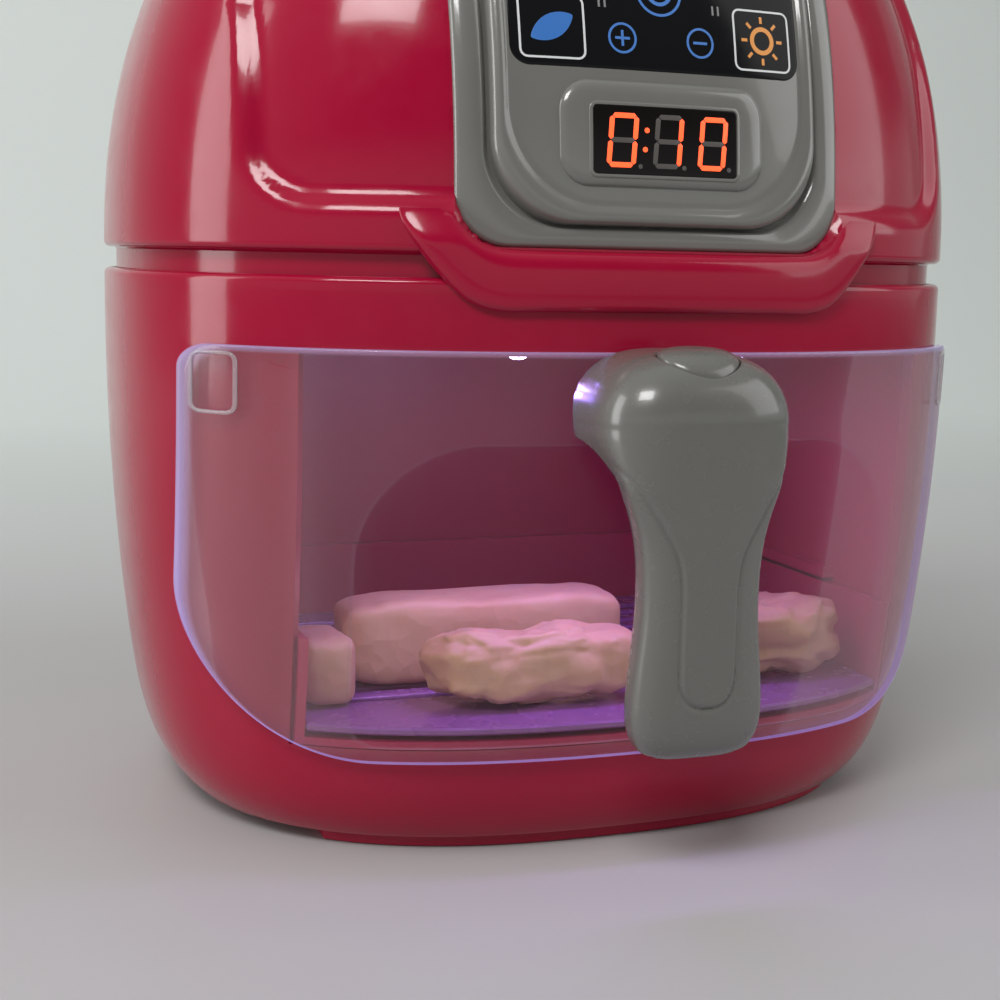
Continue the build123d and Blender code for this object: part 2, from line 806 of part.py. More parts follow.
with BuildPart() as control_board:
    with BuildSketch(board_plane):
        RectangleRounded(board_width, board_height, board_corner)
        with GridLocations(*board_post_grid):
            Circle(screw_radius + screw_head_room / 2, mode=Mode.SUBTRACT)
    extrude(amount=-board_thickness)
    with BuildSketch(board_plane.offset(-board_thickness)):
        with Locations((0, -6)):
            RectangleRounded(chip_size, chip_size, 1.0)
        with Locations((-16, 10), (15, 12)):
            Circle(3.0)
    extrude(amount=-chip_height)
save(control_board, "control_board")

lamp_board_top_plane = Plane(
    origin=(0, lamp_y, lamp_board_bottom + board_thickness), x_dir=(1, 0, 0), z_dir=(0, 0, -1)
)
with BuildPart() as board_screws:
    with Locations(board_plane.offset(-board_thickness)):
        with GridLocations(*board_post_grid):
            add(screw(board_screw_length))
    with Locations(lamp_board_top_plane):
        with GridLocations(2 * lamp_screw_x, 0, 2, 1):
            add(screw(lamp_screw_length))
save(board_screws, "board_screws")

# Power switch: body behind the wall and a knob that slides in its slot
knob_rest_x = -switch_travel / 2
wall_inside = switch_y - wall
switch_front = wall_inside - switch_gap
stem_width = 3.0
stem_height = 2.4
stem_depth = 3.0
stem_room = 0.6

with BuildPart() as switch_body:
    with BuildSketch(Plane.XZ.offset(-switch_front)):
        with Locations((0, switch_height)):
            Rectangle(switch_body_width, switch_body_height)
    extrude(amount=switch_body_depth)
    with BuildSketch(Plane.XZ.offset(-switch_front)):
        with Locations((0, switch_height)):
            Rectangle(stem_width + switch_travel + stem_room, stem_height + stem_room)
    extrude(amount=stem_depth + stem_room, mode=Mode.SUBTRACT)
save(switch_body, "switch_body")

with BuildPart() as switch_knob:
    with BuildSketch(Plane.XZ.offset(-(switch_y - switch_recess_depth + knob_proud))):
        with Locations((knob_rest_x, switch_height)):
            Rectangle(knob_width, knob_height)
    extrude(amount=switch_y - switch_recess_depth + knob_proud - wall_inside)
    with BuildSketch(Plane.XZ.offset(-(switch_y - switch_recess_depth + knob_proud))):
        with Locations((knob_rest_x, switch_height)):
            with GridLocations(1.6, 0, 3, 1):
                Rectangle(0.6, knob_height)
    extrude(amount=0.4, mode=Mode.SUBTRACT)
    with BuildSketch(Plane.XZ.offset(-wall_inside)):
        with Locations((knob_rest_x, switch_height)):
            Rectangle(stem_width, stem_height)
    extrude(amount=switch_gap + stem_depth)
save(switch_knob, "switch_knob")

# Drawer: clear front, tub and lift-out grill plate
shell_outset = shell_gap + shell_thickness
shell_outside = lower_form(lower_bottom, lower_top, -shell_outset)
shell_inside = lower_form(lower_bottom, lower_top, -shell_gap)
shell_outline = front_outline(shell_width, shell_bottom, shell_top, shell_corner, shell_top_corner)
arch_outline = front_outline(arch_width, arch_bottom, arch_top, arch_bottom_corner, arch_corner)
button_bottom = handle_top + button_proud - button_height
pocket_bottom = button_bottom - spring_length
latch_bottom = button_bottom + 0.6
latch_slot_bottom = latch_bottom - button_travel - latch_gap
latch_slot_top = latch_bottom + latch_thickness + latch_gap
shell_inner_y = -(body_depth / 2 + shell_gap) * lower_half_width(handle_screw_z) / (body_width / 2)
handle_screw_plane = Plane(origin=(0, shell_inner_y, handle_screw_z), x_dir=(1, 0, 0), z_dir=(0, -1, 0))

with BuildPart() as drawer_front:
    add(front_patch(shell_outline, shell_outside, shell_inside))
    add(front_patch(arch_outline, lower_form(lower_bottom, lower_top, -shell_outset - 1),
                    lower_form(lower_bottom, lower_top, -shell_outset + arch_sink)), mode=Mode.SUBTRACT)
    with BuildSketch(Plane.XZ.offset(latch_reach)):
        with Locations((0, (latch_slot_bottom + latch_slot_top) / 2)):
            Rectangle(latch_width + 2 * latch_gap, latch_slot_top - latch_slot_bottom)
        with Locations((-handle_screw_x, handle_screw_z), (handle_screw_x, handle_screw_z)):
            Circle(screw_radius + screw_head_room / 2)
    extrude(amount=body_depth, mode=Mode.SUBTRACT)
    with BuildSketch(Plane.XZ.offset(latch_reach)):
        with Locations((-handle_screw_x, handle_screw_z), (handle_screw_x, handle_screw_z)):
            Circle(screw_head_radius + screw_head_room)
    extrude(amount=-shell_inner_y - latch_reach, mode=Mode.SUBTRACT)
save(drawer_front, "drawer_front")

tub_bottom = bay_bottom + tub_floor_gap
tub_half_width = bay_half_width - tub_side_gap
tub_back = bay_back - tub_back_gap
tub_corner = bay_back_corner - bay_wall - tub_side_gap
tub_reach = lower_form(lower_bottom, lower_top, tub_front_gap - shell_gap)
tub_floor_top = tub_bottom + tub_wall

with BuildPart() as drawer_tub:
    add(bay_plan(tub_bottom, tub_half_width, tub_back, tub_corner))
    extrude(amount=tub_height)
    add(bay_plan(tub_floor_top, tub_half_width - tub_wall, tub_back - tub_wall, tub_corner - tub_wall))
    extrude(amount=tub_height, mode=Mode.SUBTRACT)
    add(tub_reach, mode=Mode.INTERSECT)
save(drawer_tub, "drawer_tub")

grill_half_width = tub_half_width - tub_wall - grill_gap
grill_back = tub_back - tub_wall - grill_gap
grill_corner = tub_corner - tub_wall - grill_gap
grill_bottom = tub_floor_top + grill_foot
grill_top = grill_bottom + grill_thickness
slot_field_front = grill_front_room - body_depth / 2
slot_field_depth = grill_back - grill_border - slot_field_front
slot_field_width = 2 * (grill_half_width - grill_border)
slot_length = (slot_field_width - grill_bar) / 2
slot_count = int(slot_field_depth / grill_slot_pitch)

with BuildPart() as grill_plate:
    add(bay_plan(grill_bottom, grill_half_width, grill_back, grill_corner))
    extrude(amount=grill_thickness)
    with BuildSketch(Plane.XY.offset(tub_floor_top)):
        with Locations((0, slot_field_front + slot_field_depth / 2)):
            with GridLocations(slot_field_width, slot_field_depth, 2, 2):
                Circle(grill_foot_radius)
    extrude(amount=grill_foot)
    add(lower_form(lower_bottom, lower_top, grill_gap), mode=Mode.INTERSECT)
    with BuildSketch(Plane.XY.offset(grill_bottom)):
        with Locations((0, slot_field_front + slot_field_depth / 2)):
            with GridLocations(slot_length + grill_bar, grill_slot_pitch, 2, slot_count):
                SlotOverall(slot_length, grill_slot_width)
    extrude(amount=grill_thickness, mode=Mode.SUBTRACT)
save(grill_plate, "grill_plate")

# Handle: one outer form, split into a head with a strip and the grip behind it
# Stations of the handle from its lower end up: height, half width and half depth
handle_length = handle_top - handle_bottom
grip_half_depth = grip_thickness / 2
handle_stations = [
    (0.0, grip_end_half_width * 0.62, grip_half_depth * 0.55),
    (2.0, grip_end_half_width * 0.87, grip_half_depth * 0.85),
    (9.0, grip_end_half_width, grip_half_depth),
    (28.0, grip_half_width, grip_half_depth),
    (handle_length - 35.0, grip_half_width * 1.06, grip_half_depth * 1.04),
    (handle_length - 25.0, (grip_half_width + head_half_width) / 2, grip_half_depth * 1.15),
    (handle_length - 17.0, head_half_width * 0.97, grip_half_depth * 1.35),
    (handle_length - 10.0, head_half_width, grip_half_depth * 1.4),
    (handle_length - 4.0, head_half_width * 0.94, grip_half_depth * 1.3),
    (handle_length - 1.0, head_half_width * 0.76, grip_half_depth * 1.05),
    (handle_length, head_half_width * 0.55, grip_half_depth * 0.75),
]
front_setback = 0.35
handle_power = 3.0
neck_start = body_depth / 2 - 10.0
neck_half_width = head_half_width - 1.5
neck_half_height = (handle_top - head_bottom) / 2 - 1.0
neck_middle = (handle_top + head_bottom) / 2


def handle_form(lift=0.0):
    """Solid of the whole handle, moved up by the lift."""
    sections = []
    for height, half_width, half_depth in handle_stations:
        setback = front_setback * (grip_half_depth * 1.4 - half_depth)
        middle = Plane(origin=(0, half_depth + setback - handle_face, handle_bottom + height + lift))
        sections.append(oval_on(middle, half_width, half_depth, handle_power))
    with BuildPart() as form:
        loft(sections=sections)
        neck_root = Plane(origin=(0, -neck_start, neck_middle + lift), x_dir=(1, 0, 0), z_dir=(0, -1, 0))
        extrude(oval_on(neck_root, neck_half_width, neck_half_height, handle_power),
                amount=button_y - neck_start)
    return form.part


def seam_outline():
    """Front view of the head and its strip, which the grip's seam follows, right half."""
    with BuildSketch(Plane.XZ) as outline:
        with BuildLine():
            side = 2 * head_half_width
            strip_end = strip_bottom + strip_half_width
            top = Polyline((0, strip_bottom), (0, handle_top + 9), (side, handle_top + 9),
                           (side, head_bottom + 1), (head_half_width + 1, head_bottom + 1))
            sweep_in = Spline(top @ 1, (strip_half_width, head_bottom - 20), tangents=((-1, -0.5), (0, -1)))
            down = Line(sweep_in @ 1, (strip_half_width, strip_end))
            RadiusArc(down @ 1, top @ 0, strip_half_width)
        make_face()
    return outline.sketch


with BuildPart() as head_space:
    extrude(seam_outline(), amount=2 * handle_face, dir=(0, -1, 0))
    with BuildSketch(Plane.XY.offset(strip_bottom - 1)):
        with Locations((0, strip_depth + grip_half_depth * 0.2 - handle_face + body_depth)):
            Rectangle(8 * head_half_width, 2 * body_depth)
    extrude(amount=head_bottom - strip_bottom + 1, mode=Mode.SUBTRACT)
    mirror(about=Plane.YZ)

with BuildPart() as button_pocket:
    add(oval_on(Plane(origin=(0, -button_y, pocket_bottom)),
                button_width / 2 + button_clearance, button_depth / 2 + button_clearance, 2.4))
    extrude(amount=button_height + spring_length + 9)
    with BuildSketch(Plane.XY.offset(latch_slot_bottom)):
        with Locations((0, -(button_y + latch_reach) / 2)):
            Rectangle(latch_width + 2 * latch_gap, button_y - latch_reach)
    extrude(amount=latch_slot_top - latch_slot_bottom)
    with Locations(handle_screw_plane):
        with GridLocations(2 * handle_screw_x, 0, 2, 1):
            Cylinder(screw_radius + screw_fit, 24.0)

with BuildPart() as handle_head:
    add(handle_form())
    add(shell_outside, mode=Mode.SUBTRACT)
    add(head_space.part, mode=Mode.INTERSECT)
    add(button_pocket.part, mode=Mode.SUBTRACT)
save(handle_head, "handle_head")

with BuildPart() as handle_grip:
    add(handle_form())
    add(shell_outside, mode=Mode.SUBTRACT)
    add(head_space.part, mode=Mode.SUBTRACT)
save(handle_grip, "handle_grip")

with BuildPart() as handle_screws:
    with Locations(handle_screw_plane):
        with GridLocations(2 * handle_screw_x, 0, 2, 1):
            add(screw(handle_screw_length))
save(handle_screws, "handle_screws")

# Release button: oval cap that follows the head's top, with an arm to the latch nose
with BuildPart() as release_button:
    add(oval_on(Plane(origin=(0, -button_y, button_bottom)),
                button_width / 2, button_depth / 2, 2.4))
    extrude(amount=button_height + 2)
    add(handle_form(button_proud), mode=Mode.INTERSECT)
    with BuildSketch(Plane.XY.offset(latch_bottom)):
        with Locations((0, -(button_y + latch_reach + 1) / 2)):
            Rectangle(latch_width, button_y - latch_reach - 1)
    extrude(amount=latch_thickness)
    with BuildSketch(Plane.YZ.offset(-latch_width / 2)):
        with BuildLine():
            Polyline((-latch_reach - 1, latch_bottom), (-latch_reach - 1, bay_top - latch_gap),
                     (-latch_reach - 3, bay_top - latch_gap), (-latch_reach - 5, latch_bottom), close=True)
        make_face()
    extrude(amount=latch_width)
save(release_button, "release_button")

with BuildPart() as release_spring:
    with BuildSketch(Plane.XY.offset(pocket_bottom)):
        with Locations((0, -button_y)):
            Circle(spring_radius)
            Circle(spring_radius - spring_wire, mode=Mode.SUBTRACT)
    extrude(amount=spring_length)
save(release_spring, "release_spring")


def food_block(x, y, length, depth, height, edge):
    """Plain lump of play food on the grill plate, with rounded edges."""
    with BuildPart() as lump:
        with BuildSketch(Plane.XY.offset(grill_top)):
            with Locations((x, y)):
                RectangleRounded(length, depth, edge * 1.4)
        extrude(amount=height)
        fillet(lump.edges().group_by(Axis.Z)[-1], edge)
    return lump


save(food_block(-19.0, -27.0, 66.0, 17.0, 19.0, food_edge), "food_finger")
save(food_block(-16.0, -51.0, 48.0, 20.0, 17.0, food_edge * 1.4), "food_nugget")
save(food_block(40.0, -43.0, 48.0, 24.0, 19.0, food_edge * 1.6), "food_wing")
save(food_block(-58.0, -38.0, 12.0, 20.0, 15.0, food_edge), "food_bite")
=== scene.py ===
import math

import bmesh
import bpy
import numpy as np
from mathutils import Matrix, Vector, noise


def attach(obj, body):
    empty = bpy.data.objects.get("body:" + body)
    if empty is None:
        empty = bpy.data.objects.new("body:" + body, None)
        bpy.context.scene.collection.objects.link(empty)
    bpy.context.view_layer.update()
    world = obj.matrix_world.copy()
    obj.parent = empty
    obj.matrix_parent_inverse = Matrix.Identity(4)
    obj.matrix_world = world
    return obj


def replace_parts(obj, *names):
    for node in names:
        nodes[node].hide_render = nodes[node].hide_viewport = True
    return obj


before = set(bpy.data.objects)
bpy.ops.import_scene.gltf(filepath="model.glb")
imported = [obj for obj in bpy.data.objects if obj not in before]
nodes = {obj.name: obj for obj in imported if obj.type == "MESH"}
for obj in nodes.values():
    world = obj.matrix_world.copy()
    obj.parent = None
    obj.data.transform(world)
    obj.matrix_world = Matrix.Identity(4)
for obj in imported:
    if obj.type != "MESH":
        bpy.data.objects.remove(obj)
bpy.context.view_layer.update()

# Sizes of the toy, in millimetres, as in the part's own source
MM = 0.001
BODY_WIDTH = 190.0
BODY_DEPTH = 150.0
LOWER_TOP = 116.0
UPPER_BOTTOM = 120.5
DOME_RISE = 111.5
WALL = 2.4
PLAN_POWER = 2.5
DOME_POWER = 2.2
SHELL_GAP = 0.3
SHELL_THICKNESS = 1.7
HANDLE_FACE = 100.0
HANDLE_BOTTOM = 28.0
HANDLE_TOP = 103.5
HEAD_HALF_WIDTH = 19.5
GRILL_TOP = 28.2
BAY_HALF_WIDTH = 68.0
BAY_BOTTOM = 23.5
BAY_TOP = 101.5
SWITCH_HEIGHT = 66.0
SWITCH_DEPTH = 73.87
SWITCH_WALL = 1.2
SCREW_SEAT = 2.4
RIM_EDGE = 1.3
NECK_INSET = 2.6
NECK_WALL = 2.2
NECK_DEPTH = 8.5
APRON_FLAT = 22.0
BEZEL_CENTRE = (0, 160)
FILM_BACK = 1.2
FILM_FACE = 0.72
HANDLE_POWER = 3

scene = bpy.context.scene


# Curves of the housing

def lower_half_width(z):
    rise = np.minimum(z / 108.0, 1.0)
    return BODY_WIDTH / 2 - 9.5 * (1 - rise) ** 2 - 10.5 * np.exp(-z / 7.0)


def oval_front(x, half_width, half_depth):
    across = np.minimum(np.abs(x) / half_width, 1.0)
    return -half_depth * (1 - across ** PLAN_POWER) ** (1 / PLAN_POWER)


def dome_front(x, z, inset):
    lift = np.clip((z - UPPER_BOTTOM) / (DOME_RISE - inset), 0.0, 0.9999)
    spread = (1 - lift ** DOME_POWER) ** (1 / DOME_POWER)
    return oval_front(x, (BODY_WIDTH / 2 - inset) * spread, (BODY_DEPTH / 2 - inset) * spread)


def lower_front(x, z, inset):
    half_width = lower_half_width(z)
    return oval_front(x, half_width - inset, half_width * BODY_DEPTH / BODY_WIDTH - inset)


def oval_reach(across, along, half_width, half_depth, power=PLAN_POWER):
    """Distance from the middle to an oval, along directions given as their cosine and sine."""
    return ((np.abs(across) / half_width) ** power + (np.abs(along) / half_depth) ** power) ** (-1 / power)


def in_place(flat, y):
    """Points from an outline seen from the front and how deep each of them lies."""
    return np.stack([flat[:, 0], y, flat[:, 1]], 1)


def draped(flat, front, inset):
    """An outline laid on a front, the given distance behind it."""
    return in_place(flat, front(flat[:, 0], flat[:, 1], inset))


def at_level(x, y, z):
    """Points of a level loop."""
    return np.stack([x, y, np.full(len(x), float(z))], 1)


def mirrored(right, bottom):
    """Path down the right side, along the bottom and up the left side."""
    level = [(x, bottom) for x in np.linspace(APRON_FLAT, -APRON_FLAT, 30)]
    return np.concatenate([right, np.array(level), right[::-1] * [-1, 1]])


def smooth_step(value):
    t = np.clip(value, 0.0, 1.0)
    return t * t * (3 - 2 * t)


# Outlines seen from the front, as points (x, z)

def rounded_outline(width, bottom, top, bottom_corner, top_corner, arc_points=14, side_points=16):
    corners = [
        (width / 2 - bottom_corner, bottom + bottom_corner, bottom_corner, -90),
        (width / 2 - top_corner, top - top_corner, top_corner, 0),
        (top_corner - width / 2, top - top_corner, top_corner, 90),
        (bottom_corner - width / 2, bottom + bottom_corner, bottom_corner, 180),
    ]
    turned = []
    for x, z, radius, start in corners:
        turn = np.radians(start + np.linspace(0, 90, arc_points))
        turned.append(np.stack([x + radius * np.cos(turn), z + radius * np.sin(turn)], 1))
    points = []
    for arc, following in zip(turned, turned[1:] + turned[:1]):
        points.append(arc)
        share = np.linspace(0, 1, side_points + 1)[1:-1, None]
        points.append(arc[-1] + (following[0] - arc[-1]) * share)
    return np.concatenate(points)


def grown_outline(points, distance):
    """The outline moved outwards by the distance, square to itself."""
    along = np.roll(points, -1, 0) - np.roll(points, 1, 0)
    along /= np.linalg.norm(along, axis=1)[:, None] + 1e-9
    return points + np.stack([along[:, 1], -along[:, 0]], 1) * distance


def outline_distance(x, z, width, bottom, top, bottom_corner, top_corner):
    """How far a point lies outside a rounded outline, less than zero inside it."""
    middle = (bottom + top) / 2
    corner = np.where(z > middle, top_corner, bottom_corner)
    dx = np.abs(x) - width / 2 + corner
    dz = np.abs(z - middle) - (top - bottom) / 2 + corner
    outside = np.hypot(np.maximum(dx, 0), np.maximum(dz, 0))
    return outside + np.minimum(np.maximum(dx, dz), 0) - corner


# Making meshes

def new_piece(name, points, faces, material, smooth=True):
    mesh = bpy.data.meshes.new(name)
    mesh.from_pydata([tuple(p) for p in np.asarray(points) * MM], [], faces)
    mesh.validate()
    mesh.update()
    if smooth:
        mesh.polygons.foreach_set("use_smooth", [True] * len(mesh.polygons))
    piece = bpy.data.objects.new(name, mesh)
    scene.collection.objects.link(piece)
    for each in material if isinstance(material, (list, tuple)) else [material]:
        mesh.materials.append(each)
    return piece


def loops_to_faces(count, loops, first=0):
    faces = []
    for loop in range(loops - 1):
        a = first + loop * count
        b = a + count
        for i in range(count):
            j = (i + 1) % count
            faces.append((a + i, a + j, b + j, b + i))
    return faces


def rail_faces(count, lines, closed=False):
    """Faces between lines that run along a body, with its ends filled unless it closes on itself."""
    faces = []
    for i in range(count if closed else count - 1):
        j = (i + 1) % count
        for line in range(lines):
            other = (line + 1) % lines
            faces.append((line * count + i, line * count + j, other * count + j, other * count + i))
    if not closed:
        faces.append(tuple(line * count for line in range(lines)))
        faces.append(tuple(line * count + count - 1 for line in reversed(range(lines))))
    return faces


def stacked_loops(loops):
    """Closed body through loops of the same number of points, with both ends closed in a pole."""
    count = len(loops[0])
    points = np.concatenate([np.asarray(loop) for loop in loops])
    faces = loops_to_faces(count, len(loops))
    last = len(points) - count
    poles = [np.mean(loops[0], 0), np.mean(loops[-1], 0)]
    points = np.concatenate([points, np.array(poles)])
    low, high = len(points) - 2, len(points) - 1
    for i in range(count):
        j = (i + 1) % count
        faces.append((i, low, j))
        faces.append((last + i, last + j, high))
    return points, faces


def face_outwards(piece, merge=True):
    work = bmesh.new()
    work.from_mesh(piece.data)
    if merge:
        bmesh.ops.remove_doubles(work, verts=work.verts, dist=1e-7)
    bmesh.ops.recalc_face_normals(work, faces=work.faces)
    work.to_mesh(piece.data)
    work.free()
    return piece


def with_modifiers_applied(piece):
    """The piece made plain: its modifiers' result becomes its own mesh."""
    bpy.context.view_layer.update()
    mesh = bpy.data.meshes.new_from_object(piece.evaluated_get(bpy.context.evaluated_depsgraph_get()))
    piece.modifiers.clear()
    piece.data = mesh
    return piece


def sharp_edges(piece, degrees=38):
    piece.data.polygons.foreach_set("use_smooth", [True] * len(piece.data.polygons))
    piece.data.set_sharp_from_angle(angle=math.radians(degrees))
    return piece


def cut_out(piece, *cutters):
    """Takes the cutters' volume out of the piece and discards them."""
    for cutter in cutters:
        step = piece.modifiers.new("cut", "BOOLEAN")
        step.operation = "DIFFERENCE"
        step.solver = "EXACT"
        step.object = cutter
    with_modifiers_applied(piece)
    for cutter in cutters:
        bpy.data.objects.remove(cutter)
    return piece


def prism(name, outline, start, stop, material, axis="y"):
    """Straight body over an outline, along Y or along Z."""
    flat = np.asarray(outline, float)
    loops = []
    for level in (start, stop):
        here = np.full(len(flat), float(level))
        columns = (flat[:, 0], here, flat[:, 1]) if axis == "y" else (flat[:, 0], flat[:, 1], here)
        loops.append(np.stack(columns, 1))
    return face_outwards(new_piece(name, *stacked_loops(loops), material, smooth=False))


def joined(bodies):
    """One set of points and faces from several."""
    points, faces = [], []
    first = 0
    for body_points, body_faces in bodies:
        points.append(np.asarray(body_points))
        faces += [tuple(first + i for i in face) for face in body_faces]
        first += len(body_points)
    return np.concatenate(points), faces


def plate_body(outline, front, rings, fill=9):
    """Plate that follows the front: rings are (outward growth, inset) from its back to its face."""
    def filled(growth, inset, shares):
        edge = grown_outline(outline, growth)
        middle = (edge.max(0) + edge.min(0)) / 2
        return [draped(middle + (edge - middle) * share, front, inset) for share in shares]

    shares = np.linspace(0, 1, fill + 1)[1:-1]
    loops = filled(*rings[0], shares)
    loops += [draped(grown_outline(outline, growth), front, inset) for growth, inset in rings]
    loops += filled(*rings[-1], shares[::-1])
    return stacked_loops(loops)


def plate(name, outline, front, rings, material, fill=9):
    return face_outwards(new_piece(name, *plate_body(outline, front, rings, fill), material))


def ribbon_body(path, width, front, back_inset, face_inset, closed=False):
    """Raised line of even width along a path seen from the front."""
    path = np.asarray(path, float)
    if closed:
        along = np.roll(path, -1, 0) - np.roll(path, 1, 0)
    else:
        along = np.gradient(path, axis=0)
    along /= np.linalg.norm(along, axis=1)[:, None] + 1e-9
    side = np.stack([along[:, 1], -along[:, 0]], 1) * width / 2
    lines = [draped(flat, front, inset) for flat, inset in (
        (path + side, back_inset), (path + side, face_inset),
        (path - side, face_inset), (path - side, back_inset))]
    return np.concatenate(lines), rail_faces(len(path), len(lines), closed)


# Node trees that make what repeats

def linked(tree, kind, links=(), **values):
    """A node with its settings, and its inputs set or linked by name or number."""
    node = tree.nodes.new(kind)
    for key, value in values.items():
        setattr(node, key, value)
    for key, source in dict(links).items():
        if isinstance(source, bpy.types.NodeSocket):
            tree.links.new(source, node.inputs[key])
        else:
            node.inputs[key].default_value = source
    return node


def maths(tree, how, first, second, use_clamp=False):
    return linked(tree, "ShaderNodeMath", {0: first, 1: second}, operation=how,
                  use_clamp=use_clamp).outputs[0]


def ramp(tree, value, low, high, at_low, at_high):
    """The value carried from one range to another."""
    return linked(tree, "ShaderNodeMapRange", {0: value, 1: low, 2: high, 3: at_low, 4: at_high}).outputs[0]


def geometry_tree(name, sockets):
    tree = bpy.data.node_groups.new(name, "GeometryNodeTree")
    tree.interface.new_socket("Geometry", in_out="INPUT", socket_type="NodeSocketGeometry")
    for label, kind, value in sockets:
        socket = tree.interface.new_socket(label, in_out="INPUT", socket_type=kind)
        if value is not None:
            socket.default_value = value
    tree.interface.new_socket("Geometry", in_out="OUTPUT", socket_type="NodeSocketGeometry")
    return tree, tree.nodes.new("NodeGroupInput"), tree.nodes.new("NodeGroupOutput")


def finished_tree(tree, given, result, copies):
    """Copies made real and given their material, as the tree's result."""
    solid = linked(tree, "GeometryNodeRealizeInstances", {0: copies.outputs[0]})
    coated = linked(tree, "GeometryNodeSetMaterial", {
        "Geometry": solid.outputs[0], "Material": given.outputs["Material"]})
    tree.links.new(coated.outputs[0], result.inputs[0])
    return tree


def copies_tree():
    """A copy of one piece on every point, each turned at random about Z up to a given turn."""
    tree, given, result = geometry_tree("copies_on_points", [
        ("Piece", "NodeSocketObject", None), ("Largest Turn", "NodeSocketFloat", 0.0),
        ("Seed", "NodeSocketInt", 7), ("Material", "NodeSocketMaterial", None)])
    piece = linked(tree, "GeometryNodeObjectInfo", {
        "Object": given.outputs["Piece"], "As Instance": True})
    largest = linked(tree, "ShaderNodeCombineXYZ", {"Z": given.outputs["Largest Turn"]})
    turn = linked(tree, "FunctionNodeRandomValue", {
        0: (0, 0, 0), 1: largest.outputs[0], "Seed": given.outputs["Seed"]}, data_type="FLOAT_VECTOR")
    copies = linked(tree, "GeometryNodeInstanceOnPoints", {
        "Points": given.outputs["Geometry"], "Instance": piece.outputs["Geometry"],
        "Rotation": turn.outputs[0]})
    return finished_tree(tree, given, result, copies)


def bars_tree():
    """A row of equal bars along Y with rounded edges, evenly spaced along X."""
    tree, given, result = geometry_tree("row_of_bars", [
        ("Count", "NodeSocketInt", 5), ("Pitch", "NodeSocketFloat", 0.008),
        ("Length", "NodeSocketFloat", 0.08), ("Width", "NodeSocketFloat", 0.005),
        ("Height", "NodeSocketFloat", 0.002), ("Corner", "NodeSocketFloat", 0.0004),
        ("Material", "NodeSocketMaterial", None)])
    half = maths(tree, "MULTIPLY", given.outputs["Length"], 0.5)
    back = maths(tree, "MULTIPLY", given.outputs["Length"], -0.5)
    path = linked(tree, "GeometryNodeCurvePrimitiveLine", {
        "Start": linked(tree, "ShaderNodeCombineXYZ", {"Y": back}).outputs[0],
        "End": linked(tree, "ShaderNodeCombineXYZ", {"Y": half}).outputs[0]})
    section = linked(tree, "GeometryNodeCurvePrimitiveQuadrilateral", {
        "Width": given.outputs["Width"], "Height": given.outputs["Height"]})
    softened = linked(tree, "GeometryNodeFilletCurve", {
        "Curve": section.outputs[0], "Count": 3, "Radius": given.outputs["Corner"]}, mode="POLY")
    bar = linked(tree, "GeometryNodeCurveToMesh", {
        "Curve": path.outputs[0], "Profile Curve": softened.outputs[0], "Fill Caps": True})
    gaps = maths(tree, "SUBTRACT", given.outputs["Count"], 1.0)
    start = maths(tree, "MULTIPLY", maths(tree, "MULTIPLY", gaps, given.outputs["Pitch"]), -0.5)
    row = linked(tree, "GeometryNodeMeshLine", {
        "Count": given.outputs["Count"],
        "Start Location": linked(tree, "ShaderNodeCombineXYZ", {"X": start}).outputs[0],
        "Offset": linked(tree, "ShaderNodeCombineXYZ", {"X": given.outputs["Pitch"]}).outputs[0]})
    copies = linked(tree, "GeometryNodeInstanceOnPoints", {
        "Points": row.outputs[0], "Instance": bar.outputs[0]})
    return finished_tree(tree, given, result, copies)


COPIES = copies_tree()
BARS = bars_tree()


def grown_by_nodes(name, tree, points, values):
    """Piece that a node tree makes from bare points and named values."""
    mesh = bpy.data.meshes.new(name)
    mesh.from_pydata([tuple(p) for p in np.asarray(points, float).reshape(-1, 3) * MM], [], [])
    piece = bpy.data.objects.new(name, mesh)
    scene.collection.objects.link(piece)
    step = piece.modifiers.new("make", "NODES")
    step.node_group = tree
    for item in tree.interface.items_tree:
        if item.in_out == "INPUT" and item.name in values:
            step[item.identifier] = values[item.name]
    with_modifiers_applied(piece)
    piece.data.name = name
    return piece


# Shader groups that several materials share

def new_group(name, inputs, outputs):
    group = bpy.data.node_groups.new(name, "ShaderNodeTree")
    for label, kind, value in inputs:
        socket = group.interface.new_socket(label, in_out="INPUT", socket_type=kind)
        if value is not None:
            socket.default_value = value
    for label, kind in outputs:
        group.interface.new_socket(label, in_out="OUTPUT", socket_type=kind)
    return group, group.nodes.new("NodeGroupInput"), group.nodes.new("NodeGroupOutput")


def mixed_colour(tree, factor, first, second, how="MIX"):
    mix = linked(tree, "ShaderNodeMix", data_type="RGBA", blend_type=how)
    for socket, value in ((mix.inputs[0], factor), (mix.inputs[6], first), (mix.inputs[7], second)):
        if isinstance(value, bpy.types.NodeSocket):
            tree.links.new(value, socket)
        else:
            socket.default_value = value
    return mix.outputs[2]


def noise_of(tree, where, scale, detail, **others):
    return linked(tree, "ShaderNodeTexNoise", {
        "Vector": where, "Scale": scale, "Detail": detail, **others}).outputs["Fac"]


def bumped(tree, shader, height, strength, distance):
    """Sets the shader's normal from a height."""
    bump = linked(tree, "ShaderNodeBump", {"Height": height, "Strength": strength, "Distance": distance})
    tree.links.new(bump.outputs[0], shader.inputs["Normal"])


